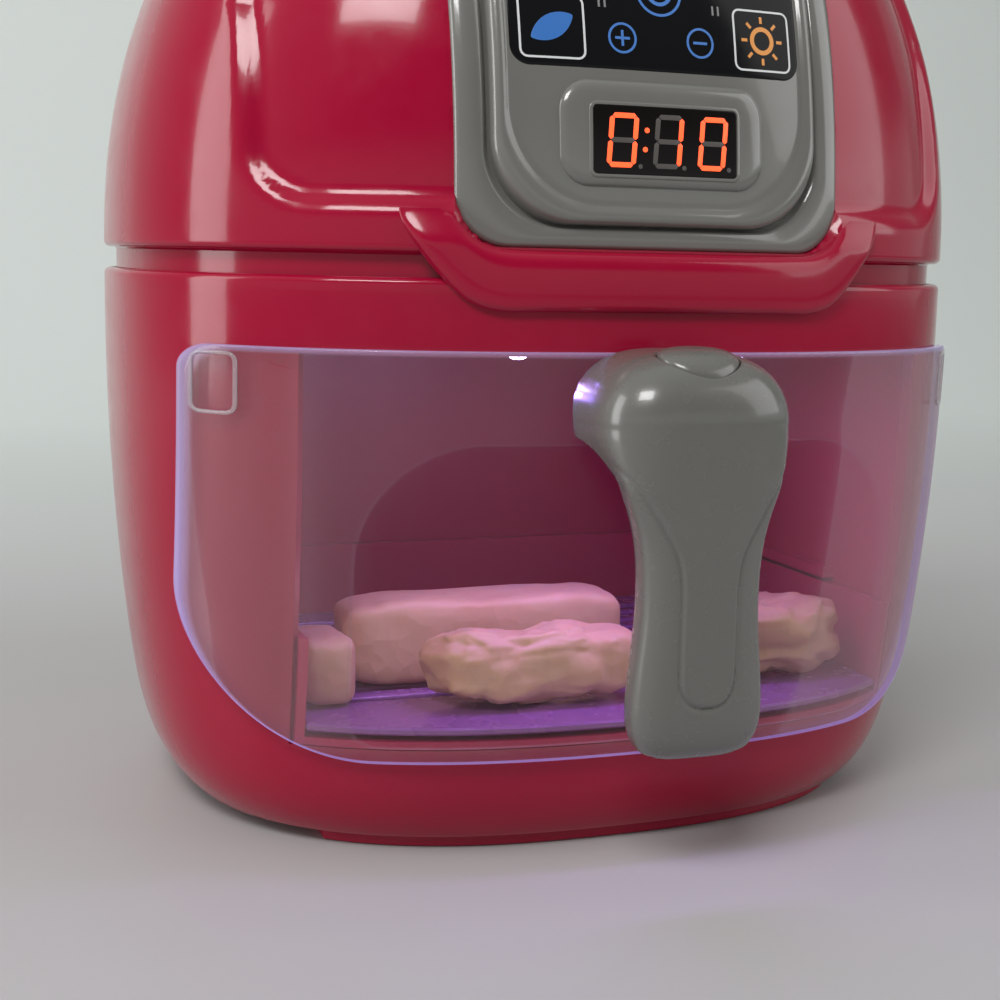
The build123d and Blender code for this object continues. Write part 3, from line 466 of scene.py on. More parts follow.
def moulding_group():
    """Moulded plastic: slow flow variation of the colour, a fine skin and rubbed edges."""
    group, given, result = new_group(
        "moulded_surface",
        [("Colour", "NodeSocketColor", (0.5, 0.5, 0.5, 1)), ("Roughness", "NodeSocketFloat", 0.2),
         ("Variation", "NodeSocketFloat", 0.1), ("Flow Scale", "NodeSocketFloat", 18.0),
         ("Skin Scale", "NodeSocketFloat", 900.0), ("Edge Wear", "NodeSocketFloat", 0.2)],
        [("Colour", "NodeSocketColor"), ("Roughness", "NodeSocketFloat"), ("Height", "NodeSocketFloat")])
    where = linked(group, "ShaderNodeTexCoord").outputs["Object"]
    flow = noise_of(group, where, given.outputs["Flow Scale"], 3.0, Distortion=0.6)
    skin = noise_of(group, where, given.outputs["Skin Scale"], 2.0)
    dust = noise_of(group, where, 160.0, 4.0)
    darker, lighter = (
        linked(group, "ShaderNodeHueSaturation", {
            "Color": given.outputs["Colour"], "Value": value, "Saturation": saturation}).outputs[0]
        for value, saturation in ((0.72, 1.05), (1.5, 0.85)))
    amount = maths(group, "MULTIPLY", flow, given.outputs["Variation"])
    base = mixed_colour(group, amount, given.outputs["Colour"], darker)
    sharpness = linked(group, "ShaderNodeNewGeometry").outputs["Pointiness"]
    worn = maths(group, "MULTIPLY", ramp(group, sharpness, 0.52, 0.60, 0.0, 1.0), given.outputs["Edge Wear"])
    rough = maths(group, "ADD", given.outputs["Roughness"], ramp(group, dust, 0.35, 0.75, -0.02, 0.06))
    group.links.new(mixed_colour(group, worn, base, lighter), result.inputs["Colour"])
    group.links.new(rough, result.inputs["Roughness"])
    group.links.new(skin, result.inputs["Height"])
    return group


MOULDED = moulding_group()


def new_material(name):
    material = bpy.data.materials.new(name)
    material.use_nodes = True
    tree = material.node_tree
    tree.nodes.clear()
    shader = tree.nodes.new("ShaderNodeBsdfPrincipled")
    end = tree.nodes.new("ShaderNodeOutputMaterial")
    tree.links.new(shader.outputs[0], end.inputs[0])
    return material, tree, shader


def set_inputs(node, values):
    for key, value in values.items():
        node.inputs[key].default_value = value


def placed_group(tree, group, values):
    node = tree.nodes.new("ShaderNodeGroup")
    node.node_tree = group
    set_inputs(node, values)
    return node


def moulded(name, colour, roughness, variation=0.15, skin_depth=0.04, skin_scale=900.0, wear=0.2,
            coat=0.0, metallic=0.0, specular=0.5, glow=None, glow_strength=0.0):
    """Moulded or stamped finish in one colour, with flow marks, skin and worn edges."""
    material, tree, shader = new_material(name)
    surface = placed_group(tree, MOULDED, {
        "Colour": (*colour, 1), "Roughness": roughness, "Variation": variation,
        "Skin Scale": skin_scale, "Edge Wear": wear})
    tree.links.new(surface.outputs["Colour"], shader.inputs["Base Color"])
    tree.links.new(surface.outputs["Roughness"], shader.inputs["Roughness"])
    bumped(tree, shader, surface.outputs["Height"], skin_depth, 0.0004)
    plain = {"Metallic": metallic, "Coat Weight": coat, "Coat Roughness": 0.05,
             "Specular IOR Level": specular}
    if glow:
        plain |= {"Emission Color": (*glow, 1), "Emission Strength": glow_strength}
    set_inputs(shader, plain)
    return material


def clear_plastic(name, colour, haze, pane_haze, roughness, painted_rim_glow):
    """Clear moulded plastic: hazy where frosted and where seen edge on, with a painted violet glow along its
    rim that stands in for the lamps' light.
    """
    material, tree, shader = new_material(name)
    where = linked(tree, "ShaderNodeTexCoord").outputs["Object"]
    streak = linked(tree, "ShaderNodeMapping", {"Vector": where, "Scale": (40.0, 40.0, 6.0)})
    cloud = noise_of(tree, streak.outputs[0], 1.0, 3.0)
    rim, frost_and_sheen = (linked(tree, "ShaderNodeAttribute", attribute_name=name).outputs["Fac"]
                  for name in ("rim", "frost_and_sheen"))
    facing = linked(tree, "ShaderNodeLayerWeight", {"Blend": 0.5}).outputs["Facing"]
    edge_on = maths(tree, "MULTIPLY", maths(tree, "POWER", facing, 3.0), 0.42)
    fresnel = linked(tree, "ShaderNodeLayerWeight", {"Blend": 0.25}).outputs["Fresnel"]
    gloss = maths(tree, "MULTIPLY", fresnel, 0.30)
    # A frost of 1 gives the haze asked for, and none gives the pane's
    base = ramp(tree, frost_and_sheen, 0.0, 2.0, pane_haze, 2 * haze - pane_haze)
    total = maths(tree, "MULTIPLY", base, ramp(tree, cloud, 0.3, 0.7, 0.75, 1.25))
    # The rim is made more opaque where its painted glow shows
    for part in (edge_on, gloss, maths(tree, "MULTIPLY", rim, 0.30)):
        total = maths(tree, "ADD", total, part, use_clamp=True)
    tree.links.new(total, shader.inputs["Alpha"])
    # Painted light: the rim is tinted violet for the lamps' glow
    tint = mixed_colour(tree, rim, (*colour, 1), (0.50, 0.42, 0.72, 1))
    tree.links.new(tint, shader.inputs["Base Color"])
    # The painted glow on the rim fades towards the top
    height = linked(tree, "ShaderNodeSeparateXYZ", {0: where}).outputs["Z"]
    painted_glow_share = maths(tree, "MULTIPLY", rim, ramp(tree, height, 0.030, 0.095, 1.0, 0.15))
    glow = mixed_colour(tree, painted_glow_share, (0, 0, 0, 1), (0.20, 0.09, 0.62, 1))
    tree.links.new(glow, shader.inputs["Emission Color"])
    varied = ramp(tree, cloud, 0.2, 0.8, roughness * 0.8, roughness * 1.2)
    tree.links.new(varied, shader.inputs["Roughness"])
    bumped(tree, shader, noise_of(tree, where, 1500.0, 2.0), 0.04, 0.0003)
    set_inputs(shader, {"Emission Strength": painted_rim_glow, "Specular IOR Level": 0.6, "Coat Weight": 0.3,
                        "Coat Roughness": 0.04})
    return material


PINK = (0.34, 0.003, 0.030)
pink_gloss = moulded("pink_gloss", PINK, 0.14, 0.22, 0.02, 700.0, 0.25, coat=0.2, specular=0.28)
pink_inside = moulded("pink_inside", (0.44, 0.005, 0.060), 0.34, 0.2, 0.01, 900.0, 0.1, coat=0.05)
bezel_grey = moulded("bezel_grey", (0.165, 0.160, 0.148), 0.18, 0.25, 0.03, 800.0, 0.2, coat=0.45)
handle_grey = moulded("handle_grey", (0.132, 0.128, 0.118), 0.25, 0.2, 0.02, 1100.0, 0.2, coat=0.35)
panel_black = moulded("panel_black", (0.008, 0.008, 0.009), 0.10, 0.3, 0.01, 600.0, 0.05, specular=0.12)
display_black = moulded("display_black", (0.008, 0.006, 0.006), 0.10, 0.3, 0.01, 600.0, 0.05, specular=0.2)
segment_lit = moulded("segment_lit", (0.9, 0.08, 0.02), 0.4, 0.1, glow=(1.0, 0.085, 0.02),
                      glow_strength=1.5)
segment_off = moulded("segment_off", (0.085, 0.075, 0.07), 0.4, 0.2)
print_white = moulded("print_white", (0.62, 0.63, 0.63), 0.4, 0.1)
print_blue = moulded("print_blue", (0.035, 0.16, 0.50), 0.4, 0.1)
print_orange = moulded("print_orange", (0.70, 0.26, 0.03), 0.4, 0.15)
print_green = moulded("print_green", (0.10, 0.36, 0.06), 0.4, 0.15)
print_grey = moulded("print_grey", (0.20, 0.20, 0.20), 0.4, 0.1)
grill_violet = moulded("grill_violet", (0.26, 0.09, 0.30), 0.25, 0.3, 0.05, 500.0, 0.2, coat=0.4)
black_plastic = moulded("black_plastic", (0.02, 0.02, 0.02), 0.45, 0.3, 0.1, 600.0, 0.2)
board_green = moulded("board_green", (0.02, 0.12, 0.04), 0.35, 0.3, 0.1, 300.0, 0.2)
screw_steel = moulded("screw_steel", (0.55, 0.54, 0.52), 0.25, 0.25, 0.1, 1200.0, 0.4, metallic=1.0)
lamp_lens = moulded("lamp_lens", (0.7, 0.75, 1.0), 0.1, 0.1, glow=(0.50, 0.42, 1.0),
                    glow_strength=26.0)
# The last value is the strength of the clear front's painted rim glow
clear_front = clear_plastic("clear_front", (0.56, 0.36, 0.42), 0.075, 0.035, 0.20, 0.42)
clear_ribs = clear_plastic("clear_ribs", (0.62, 0.58, 0.62), 0.30, 0.30, 0.12, 0.0)


def food_material():
    """Soft vinyl food: pale, mottled, slightly see-through, with a crumbly skin."""
    material, tree, shader = new_material("food_vinyl")
    where = linked(tree, "ShaderNodeTexCoord").outputs["Object"]
    patches = noise_of(tree, where, 60.0, 4.0)
    crumbs = linked(tree, "ShaderNodeTexVoronoi", {"Vector": where, "Scale": 260.0})
    colour = mixed_colour(tree, patches, (0.68, 0.47, 0.30, 1), (0.57, 0.31, 0.18, 1))
    tree.links.new(colour, shader.inputs["Base Color"])
    tree.links.new(ramp(tree, patches, 0.3, 0.7, 0.45, 0.65), shader.inputs["Roughness"])
    bumped(tree, shader, crumbs.outputs["Distance"], 0.35, 0.0008)
    set_inputs(shader, {"Subsurface Weight": 0.25, "Subsurface Radius": (0.006, 0.003, 0.002),
                        "Subsurface Scale": 1.0})
    return material


food_vinyl = food_material()


# Lower housing, with the drawer's opening in its front

def lower_housing_skin():
    """Wall of the lower shell: rows of points from the foot to the rounded rim, open over the bay."""
    edge = RIM_EDGE
    # Height of each row and how far it is set in; the housing starts at its foot, 3 above the table
    levels = [3.0, 3.5, 4.2, *np.linspace(5, BAY_BOTTOM, 16), *np.linspace(BAY_BOTTOM, BAY_TOP, 36)[1:],
              *np.linspace(BAY_TOP, LOWER_TOP - edge, 9)[1:]]
    rows = [(z, 0.0) for z in levels]
    rows += [(LOWER_TOP - edge + edge * math.sin(t), edge * (1 - math.cos(t)))
             for t in np.radians([15, 30, 45, 60, 75, 90])]
    front = np.linspace(-BAY_HALF_WIDTH, BAY_HALF_WIDTH, 69)
    side_points = 150
    points = []
    for z, inset in rows:
        half_width = lower_half_width(z) - inset
        half_depth = lower_half_width(z) * BODY_DEPTH / BODY_WIDTH - inset
        y = oval_front(front, half_width, half_depth)
        start = math.atan2(y[-1], front[-1])
        turn = np.linspace(start, math.pi - start, side_points + 2)[1:-1]
        reach = oval_reach(np.cos(turn), np.sin(turn), half_width, half_depth)
        row = [(x, v, z) for x, v in zip(front, y)]
        row += [(r * math.cos(t), r * math.sin(t), z) for r, t in zip(reach, turn)]
        points += row
    count = len(front) + side_points
    faces = []
    for row in range(len(rows) - 1):
        opening = rows[row][0] > BAY_BOTTOM - 0.1 and rows[row + 1][0] < BAY_TOP + 0.1
        for i in range(count):
            if opening and i < len(front) - 1:
                continue
            j = (i + 1) % count
            a = row * count
            faces.append((a + i, a + j, a + count + j, a + count + i))
    skin = new_piece("lower_housing_skin", points, faces, pink_gloss)
    wall = skin.modifiers.new("wall", "SOLIDIFY")
    wall.thickness = WALL * MM
    wall.offset = -1
    return skin


lower_skin = with_modifiers_applied(lower_housing_skin())
switch_recess = rounded_outline(24.0, SWITCH_HEIGHT - 5.5, SWITCH_HEIGHT + 5.5, 2.0, 2.0, 6, 2)
switch_slot = rounded_outline(11.3, SWITCH_HEIGHT - 2.35, SWITCH_HEIGHT + 2.35, 0.3, 0.3, 3, 2)
cut_out(lower_skin,
        prism("recess_cutter", switch_recess, SWITCH_DEPTH - SWITCH_WALL, SWITCH_DEPTH + 3, pink_gloss),
        prism("slot_cutter", switch_slot, SWITCH_DEPTH - 6, SWITCH_DEPTH + 3, pink_gloss))
sharp_edges(lower_skin)
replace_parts(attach(lower_skin, "housing"), "lower_housing")


# Upper housing: dome with a set-back front, and the neck below it

# Rounded outlines as width, bottom, top, lower and upper corner
BEZEL_HOLE = (82.0, 121.6, 203.8, 10.3, 24.3)
SCOOP = (152.0, 130.0, 208.0, 10.0, 46.0)
SCOOP_DEPTH = 2.5
LIP_RADIUS = 1.6
SPEAKER_LIFT = 34.0
HOLE_PITCH = 5.0
HOLE_RADIUS = 1.1


def dome_sink(x, z):
    """How far the front is set back behind the plain dome."""
    scoop = outline_distance(x, z, *SCOOP)
    sunk = SCOOP_DEPTH * smooth_step(0.5 - scoop / 4.2)
    hole = outline_distance(x, z, *BEZEL_HOLE)
    into = np.clip(LIP_RADIUS - hole, 0, LIP_RADIUS)
    lip = LIP_RADIUS - np.sqrt(np.maximum(LIP_RADIUS ** 2 - into ** 2, 0))
    lip = np.where(hole > LIP_RADIUS, 0.0, lip * 0.95)
    recess = 5.0 * smooth_step((0.2 - hole) / 1.4)
    return np.maximum(sunk, np.maximum(lip, np.where(hole < 0.2, 1.5 + recess, 0)))


def dome_skin():
    """Dome from its neck up to the top outside, and back down inside, closed at both poles."""
    edge = RIM_EDGE
    front_columns, back_columns = 232, 56
    front_turn = np.radians(np.linspace(-168, -12, front_columns, endpoint=False))
    back_turn = np.radians(np.linspace(-12, 192, back_columns, endpoint=False))
    turn = np.concatenate([front_turn, back_turn])
    cosine, sine = np.cos(turn), np.sin(turn)
    neck_inner = NECK_INSET + NECK_WALL
    profile = [(UPPER_BOTTOM, neck_inner), (UPPER_BOTTOM - NECK_DEPTH, neck_inner),
               (UPPER_BOTTOM - NECK_DEPTH, NECK_INSET), (UPPER_BOTTOM - 0.4, NECK_INSET), (UPPER_BOTTOM, 2.2)]
    profile += [(UPPER_BOTTOM + edge - edge * math.cos(t), edge - edge * math.sin(t))
                for t in np.radians([0, 18, 36, 54, 72, 90])]
    loops = []
    for z, inset in profile:
        half_width, half_depth = BODY_WIDTH / 2 - inset, BODY_DEPTH / 2 - inset
        reach = oval_reach(cosine, sine, half_width, half_depth)
        loops.append(at_level(reach * cosine, reach * sine, z))
    start = math.asin(((edge + 0.4) / DOME_RISE) ** (DOME_POWER / 2))
    for climb in np.linspace(start, math.pi / 2 * 0.992, 132):
        spread = math.cos(climb) ** (2 / DOME_POWER)
        z = UPPER_BOTTOM + DOME_RISE * math.sin(climb) ** (2 / DOME_POWER)
        half_width, half_depth = BODY_WIDTH / 2 * spread, BODY_DEPTH / 2 * spread
        reach = oval_reach(cosine, sine, half_width, half_depth)
        x, y = reach * cosine, reach * sine
        sink = np.where(y < 0, dome_sink(x, np.full_like(x, z)), 0.0)
        normal = np.stack([x / half_width ** 2, y / half_depth ** 2,
                           np.full_like(x, max(z - UPPER_BOTTOM, 0) / DOME_RISE ** 2 * 0.9)], 1)
        normal /= np.linalg.norm(normal, axis=1)[:, None]
        loops.append(at_level(x, y, z) - normal * sink[:, None])
    outer_loops = len(loops)
    # The inner side of the shell, back down to the neck
    for climb in np.linspace(math.pi / 2 * 0.985, 0.02, 26):
        inset = 7.6 if climb < 1.15 else 3.0
        spread = math.cos(climb) ** (2 / DOME_POWER)
        z = UPPER_BOTTOM + (DOME_RISE - 3.0) * math.sin(climb) ** (2 / DOME_POWER)
        deep = np.where(sine < 0, inset, 2.4)
        half_width, half_depth = (BODY_WIDTH / 2 - deep) * spread, (BODY_DEPTH / 2 - deep) * spread
        reach = oval_reach(cosine, sine, half_width, half_depth)
        loops.append(at_level(reach * cosine, reach * sine, z))
    count = len(turn)
    poles = [loops[outer_loops - 1].mean(0), loops[outer_loops].mean(0)]
    points = np.concatenate(loops + [np.array(poles)])
    split = outer_loops * count
    faces = loops_to_faces(count, outer_loops)
    faces += loops_to_faces(count, len(loops) - outer_loops, split)
    last = (len(loops) - 1) * count
    over, under = len(points) - 2, len(points) - 1
    for i in range(count):
        j = (i + 1) % count
        faces += [(last + i, last + j, j, i), (split - count + i, split - count + j, over),
                  (split + j, split + i, under)]
    return face_outwards(new_piece("upper_housing_skin", points, faces, pink_gloss))


def rod(name, profile, way, material, turns=20):
    """Round body along a direction, through pairs of distance and radius."""
    way = np.asarray(way, float)
    side = np.array([1.0, 0.0, 0.0])
    other = np.cross(way, side)
    turn = np.linspace(0, 2 * math.pi, turns, endpoint=False)[:, None]
    loops = [way * level + (side * np.cos(turn) + other * np.sin(turn)) * radius for level, radius in profile]
    return face_outwards(new_piece(name, *stacked_loops(loops), material))


def with_sound_holes(skin):
    """Rings of six and twelve holes about a middle one, over the speaker in the dome's back."""
    height = UPPER_BOTTOM + SPEAKER_LIFT
    rise = [float(dome_front(np.array([0.0]), np.array([height + step]), 0.0)[0]) for step in (-10, 10)]
    lean = math.atan2(rise[1] - rise[0], 20.0)
    way = np.array([0.0, math.cos(lean), math.sin(lean)])
    across = np.array([0.0, math.sin(lean), -math.cos(lean)])
    start = np.array([0.0, -float(dome_front(np.array([0.0]), np.array([height]), 5.8)[0]), height])
    spots = [start]
    for ring in (1, 2):
        for turn in np.linspace(0, 2 * math.pi, 6 * ring, endpoint=False):
            aside = np.array([1.0, 0, 0]) * math.cos(turn) + across * math.sin(turn)
            spots.append(start + HOLE_PITCH * ring * aside)
    pin = rod("sound_hole_pin", [(0.0, HOLE_RADIUS), (20.0, HOLE_RADIUS)], way, pink_gloss)
    holes = grown_by_nodes("sound_holes", COPIES, spots, {"Piece": pin, "Material": pink_gloss})
    bpy.data.objects.remove(pin)
    return cut_out(skin, holes)


upper_skin = sharp_edges(with_sound_holes(dome_skin()))
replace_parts(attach(upper_skin, "housing"), "upper_housing")


def belt_front(x, z, inset):
    return oval_front(x, BODY_WIDTH / 2 - inset, BODY_DEPTH / 2 - inset)


def smooth_path(points, count):
    """Points evenly spread along a smooth curve through the given ones."""
    points = np.asarray(points, float)
    before = np.concatenate([2 * points[:1] - points[1:2], points, 2 * points[-1:] - points[-2:-1]])
    fine = []
    for i in range(len(points) - 1):
        p0, p1, p2, p3 = before[i:i + 4]
        t = np.linspace(0, 1, 24, endpoint=False)[:, None]
        fine.append(0.5 * (2 * p1 + (p2 - p0) * t + (2 * p0 - 5 * p1 + 4 * p2 - p3) * t ** 2
                           + (3 * p1 - p0 - 3 * p2 + p3) * t ** 3))
    fine = np.concatenate(fine + [points[-1:]])
    length = np.concatenate([[0], np.cumsum(np.linalg.norm(np.diff(fine, axis=0), axis=1))])
    even = np.linspace(0, length[-1], count)
    return np.stack([np.interp(even, length, fine[:, k]) for k in range(fine.shape[1])], 1)


def apron_piece():
    """Raised band that runs round the bezel's lower edge and laps over the groove."""
    outside = [(51.2, 128.8), (50.6, 126.0), (47.8, 121.4), (43.6, 116.2), (38.6, 111.7), (32.8, 110.0),
               (24.0, 110.0)]
    outer = mirrored(smooth_path(outside, 70), 110.0)
    inside = [(43.6, 128.8), (41.4, 127.4), (39.6, 125.6), (36.9, 123.2), (32.6, 121.8), (24.0, 121.5)]
    inner = mirrored(smooth_path(inside, 70), 121.5)
    profile = [(0.0, 0.3), (0.0, -0.6), (0.012, -1.15), (0.035, -1.55), (0.075, -1.85), (0.13, -2.0),
               (0.30, -2.0), (0.5, -2.0), (0.68, -1.95), (0.82, -1.7), (0.91, -1.2), (0.97, -0.4),
               (1.0, 0.9), (1.0, 3.2)]
    lines = []
    for share, inset in profile:
        flat = outer + (inner - outer) * share
        proud = smooth_step((130.0 - flat[:, 1]) / 8.0)
        level = np.where(inset < 0, inset * proud + 0.25 * (1 - proud), inset)
        lines.append(draped(flat, belt_front, level))
    faces = rail_faces(len(outer), len(lines))
    return face_outwards(new_piece("apron", np.concatenate(lines), faces, pink_gloss))


apron = sharp_edges(apron_piece(), 50)
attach(apron, "housing")


# Control bezel, touch panel and display

# Rings of the bezel from its back to its face: width, bottom, top, lower and upper corner, inset
BEZEL_RINGS = [
    (79.4, 122.9, 202.5, 9.0, 23.0, 6.0), (81.4, 121.9, 203.5, 10.0, 24.0, 5.6),
    (81.4, 121.9, 203.5, 10.0, 24.0, 2.3), (80.9, 122.15, 203.25, 10.0, 23.8, 1.75),
    (79.8, 122.7, 202.7, 10.2, 23.4, 1.5), (76.6, 123.9, 201.2, 11.0, 22.6, 1.5),
    (71.6, 125.4, 198.8, 14.0, 21.0, 1.6), (70.4, 125.8, 198.2, 14.8, 20.6, 2.1),
    (69.7, 126.0, 197.9, 15.2, 20.3, 2.9), (69.0, 126.2, 197.6, 15.6, 20.0, 3.2),
    (68.6, 126.3, 197.4, 15.8, 19.8, 2.7), (68.2, 126.45, 197.2, 16.0, 19.7, 1.5),
    (67.7, 126.75, 196.95, 16.2, 19.5, 0.55), (66.8, 127.2, 196.5, 16.4, 19.1, 0.05),
    (65.5, 127.9, 195.9, 16.8, 18.6, -0.1), (64.3, 128.6, 195.3, 17.2, 18.1, 0.0),
    (63.2, 129.3, 194.8, 18.0, 17.6, 0.35), (62.5, 129.8, 194.4, 18.6, 17.2, 0.7),
    (62.0, 130.1, 194.2, 19.0, 17.0, 0.85), (60.0, 131.3, 193.2, 18.4, 16.2, 0.9)]


def bezel_body():
    def shrunk(outline, inset, share):
        return (outline - BEZEL_CENTRE) * share + BEZEL_CENTRE, inset

    outlines = [(rounded_outline(*ring[:5], arc_points=20, side_points=24), ring[5]) for ring in BEZEL_RINGS]
    shares = np.linspace(0, 1, 15)[1:-1]
    loops = []
    loops += [shrunk(*outlines[0], share) for share in shares]
    loops += outlines
    loops += [shrunk(*outlines[-1], share) for share in shares[::-1]]
    return stacked_loops([draped(flat, dome_front, inset) for flat, inset in loops])


bezel = sharp_edges(face_outwards(new_piece("control_bezel_plate", *bezel_body(), bezel_grey)), 60)
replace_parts(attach(bezel, "housing"), "control_bezel")

pod_outline = rounded_outline(43.0, 133.5, 153.6, 6.0, 6.0, side_points=12)
pod = plate("display_pod", pod_outline, dome_front, [
    (0.0, 2.4), (0.0, 1.2), (-0.25, 0.7), (-0.7, 0.35), (-1.4, 0.12), (-2.4, 0.0)], bezel_grey)
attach(pod, "housing")

panel_outline = rounded_outline(61.4, 155.5, 191.5, 4.0, 4.0, side_points=20)
panel = plate("touch_film", panel_outline, dome_front, [
    (0.0, 2.6), (0.0, 1.05), (-0.12, 0.9), (-0.4, 0.82), (-1.0, 0.8)], panel_black, fill=16)
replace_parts(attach(panel, "housing"), "touch_panel")

window_outline = rounded_outline(30.6, 135.9, 149.0, 1.0, 1.0, arc_points=6, side_points=10)
frame_line = plate("display_surround", window_outline, dome_front, [
    (0.55, 1.0), (0.55, -0.02), (0.4, -0.12), (0.1, -0.14), (-0.1, -0.14)], bezel_grey)
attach(frame_line, "housing")
window = plate("display_window", window_outline, dome_front, [
    (-0.1, 1.0), (-0.1, -0.14), (-0.2, -0.19), (-0.4, -0.2)], display_black)
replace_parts(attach(window, "housing"), "display_module")

SEGMENTS = {"0": "abcdef", "1": "bc"}


def segment_outline(a, b, width):
    """Six-cornered bar between two points."""
    a, b = np.array(a, float), np.array(b, float)
    along = (b - a) / np.linalg.norm(b - a)
    side = np.array([along[1], -along[0]]) * width / 2
    start, stop = a + along * width * 0.55, b - along * width * 0.55
    tip_start, tip_stop = a + along * width * 0.12, b - along * width * 0.12
    corners = [tip_start, start + side, stop + side, tip_stop, stop - side, start - side]
    points = []
    for here, after in zip(corners, corners[1:] + corners[:1]):
        points += [here, (here + after) / 2]
    return np.array(points)


def digit_bodies(middle_x, bottom, width, height, slant, lit):
    """Bodies of the lit and the unlit bars of one digit."""
    def corner(column, row):
        z = bottom + row * height / 2
        return (middle_x + (column - 0.5) * width + slant * (z - bottom), z)

    bars = {"a": ((0, 2), (1, 2)), "b": ((1, 1), (1, 2)), "c": ((1, 0), (1, 1)), "d": ((0, 0), (1, 0)),
            "e": ((0, 0), (0, 1)), "f": ((0, 1), (0, 2)), "g": ((0, 1), (1, 1))}
    on, off = [], []
    for label, (first, second) in bars.items():
        outline = segment_outline(corner(*first), corner(*second), 0.95)
        body = plate_body(outline, dome_front, [(0.0, -0.05), (0.0, -0.24), (-0.05, -0.26)], fill=3)
        (on if label in lit else off).append(body)
    return on, off


def round_spot(x, z, radius, back_inset=-0.05, face_inset=-0.26):
    turn = np.radians(np.arange(0, 360, 20))
    outline = np.stack([x + radius * np.cos(turn), z + radius * np.sin(turn)], 1)
    return plate_body(outline, dome_front, [(0.0, back_inset), (0.0, face_inset), (-0.05, face_inset - 0.01)],
                      fill=3)


lit_bars, dark_bars = [], []
for middle_x, shown in ((-9.6, "0"), (-0.1, "1"), (9.4, "0")):
    on, off = digit_bodies(middle_x, 137.8, 5.0, 9.2, 0.09, SEGMENTS[shown])
    lit_bars += on
    dark_bars += off
lit_bars += [round_spot(-4.6, 140.8, 0.5), round_spot(-4.2, 144.4, 0.5)]
dark_bars += [round_spot(x, 137.6, 0.45) for x in (-5.6, 3.6, 13.3)]
digits = face_outwards(new_piece("display_digits", *joined(lit_bars), segment_lit))
digits_off = face_outwards(new_piece("display_digits_unlit", *joined(dark_bars), segment_off))
for piece in (digits, digits_off):
    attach(piece, "housing")


# Symbols on the touch film

def circle_path(x, z, radius, start=0.0, stop=360.0, count=40):
    turn = np.radians(np.linspace(start, stop, count, endpoint=stop - start < 360))
    return np.stack([x + radius * np.cos(turn), z + radius * np.sin(turn)], 1)


def line_path(a, b, count=8):
    return np.linspace(a, b, count)


def film_line(path, width, closed=False):
    return ribbon_body(path, width, dome_front, FILM_BACK, FILM_FACE, closed)


def film_patch(outline):
    rings = [(0.0, FILM_BACK), (0.0, FILM_FACE + 0.01), (-0.05, FILM_FACE)]
    return plate_body(np.asarray(outline), dome_front, rings, fill=4)


def leaf_outline(x, z, length, width, lean):
    """Pointed leaf about a middle point."""
    share = np.linspace(0, 2 * math.pi, 28, endpoint=False)
    u = length / 2 * np.cos(share)
    v = width / 2 * np.sin(share) * (0.35 + 0.65 * np.abs(np.sin(share)))
    c, s = math.cos(lean), math.sin(lean)
    return np.stack([x + u * c - v * s, z + u * s + v * c], 1)


white_lines = [film_line(rounded_outline(12.6, z, z + 11.6, 1.4, 1.4, 6, 6) + [x, 0], 0.4, True)
               for x in (-22.2, 22.2) for z in (157.2, 175.2)]
blue_lines = [film_line(circle_path(-8.2, 161.6, 2.7), 0.45, True),
              film_line(circle_path(8.2, 161.6, 2.7), 0.45, True),
              film_line(line_path((-9.7, 161.6), (-6.7, 161.6)), 0.5),
              film_line(line_path((-8.2, 160.1), (-8.2, 163.1)), 0.5),
              film_line(line_path((6.7, 161.6), (9.7, 161.6)), 0.5),
              film_line(circle_path(0.0, 171.0, 4.6), 0.5, True),
              film_line(circle_path(0.0, 171.0, 2.5, -240, 60, 30), 0.7),
              film_line(line_path((0.0, 171.4), (0.0, 174.6)), 0.7)]
blue_lines += [film_patch(leaf_outline(-22.2, 163.0, 9.4, 4.6, 0.5))]
blue_lines += [film_patch(leaf_outline(-22.2, 181.0, 8.4, 3.6, math.pi / 2))]
orange_lines = [film_line(circle_path(22.2, 163.0, 2.3), 0.9, True)]
orange_lines += [film_line(line_path((22.2 + 3.4 * math.cos(t), 163.0 + 3.4 * math.sin(t)),
                                     (22.2 + 4.7 * math.cos(t), 163.0 + 4.7 * math.sin(t)), 3), 0.6)
                 for t in np.radians(np.arange(0, 360, 45))]
green_lines = [film_patch(leaf_outline(20.4, 181.6, 5.6, 3.2, 2.2)),
               film_patch(leaf_outline(24.0, 181.6, 5.6, 3.2, 0.9)),
               film_line(line_path((22.2, 177.4), (22.2, 181.0)), 0.6)]
grey_lines = [film_line(line_path((x, 167.2), (x, 169.0), 3), 0.4) for x in (-12.6, -11.4, 11.4, 12.6)]
grey_lines += [film_line(circle_path(x, 184.6, 1.3), 0.35, True) for x in (-6.0, 0.0, 6.0)]
for label, bodies, material in (("film_frames", white_lines, print_white),
                                ("film_blue_signs", blue_lines, print_blue),
                                ("film_sun_sign", orange_lines, print_orange),
                                ("film_leaf_sign", green_lines, print_green),
                                ("film_small_signs", grey_lines, print_grey)):
    signs = face_outwards(new_piece(label, *joined(bodies), material))
    signs.data.polygons.foreach_set("use_smooth", [False] * len(signs.data.polygons))
    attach(signs, "housing")


# Clear drawer front: frosted border and polished arch window

SHELL_OUTER = -(SHELL_GAP + SHELL_THICKNESS)
SHELL_BACK = -0.35
WINDOW_STEP = 0.35
WINDOW_MIDDLE = 54.75
# Where the haze grows towards the shell's ends and by how much: partly frost, partly a painted reflection
END_HAZE_START = 60.0
END_HAZE_RUN = 16.0
END_FROST_AND_REFLECTION = 2.8
shell_outline = rounded_outline(175.0, 21.2, 102.5, 34.0, 5.0, arc_points=30, side_points=40)
arch_outline = rounded_outline(118.0, 24.5, 85.0, 6.0, 24.0, arc_points=30, side_points=40)


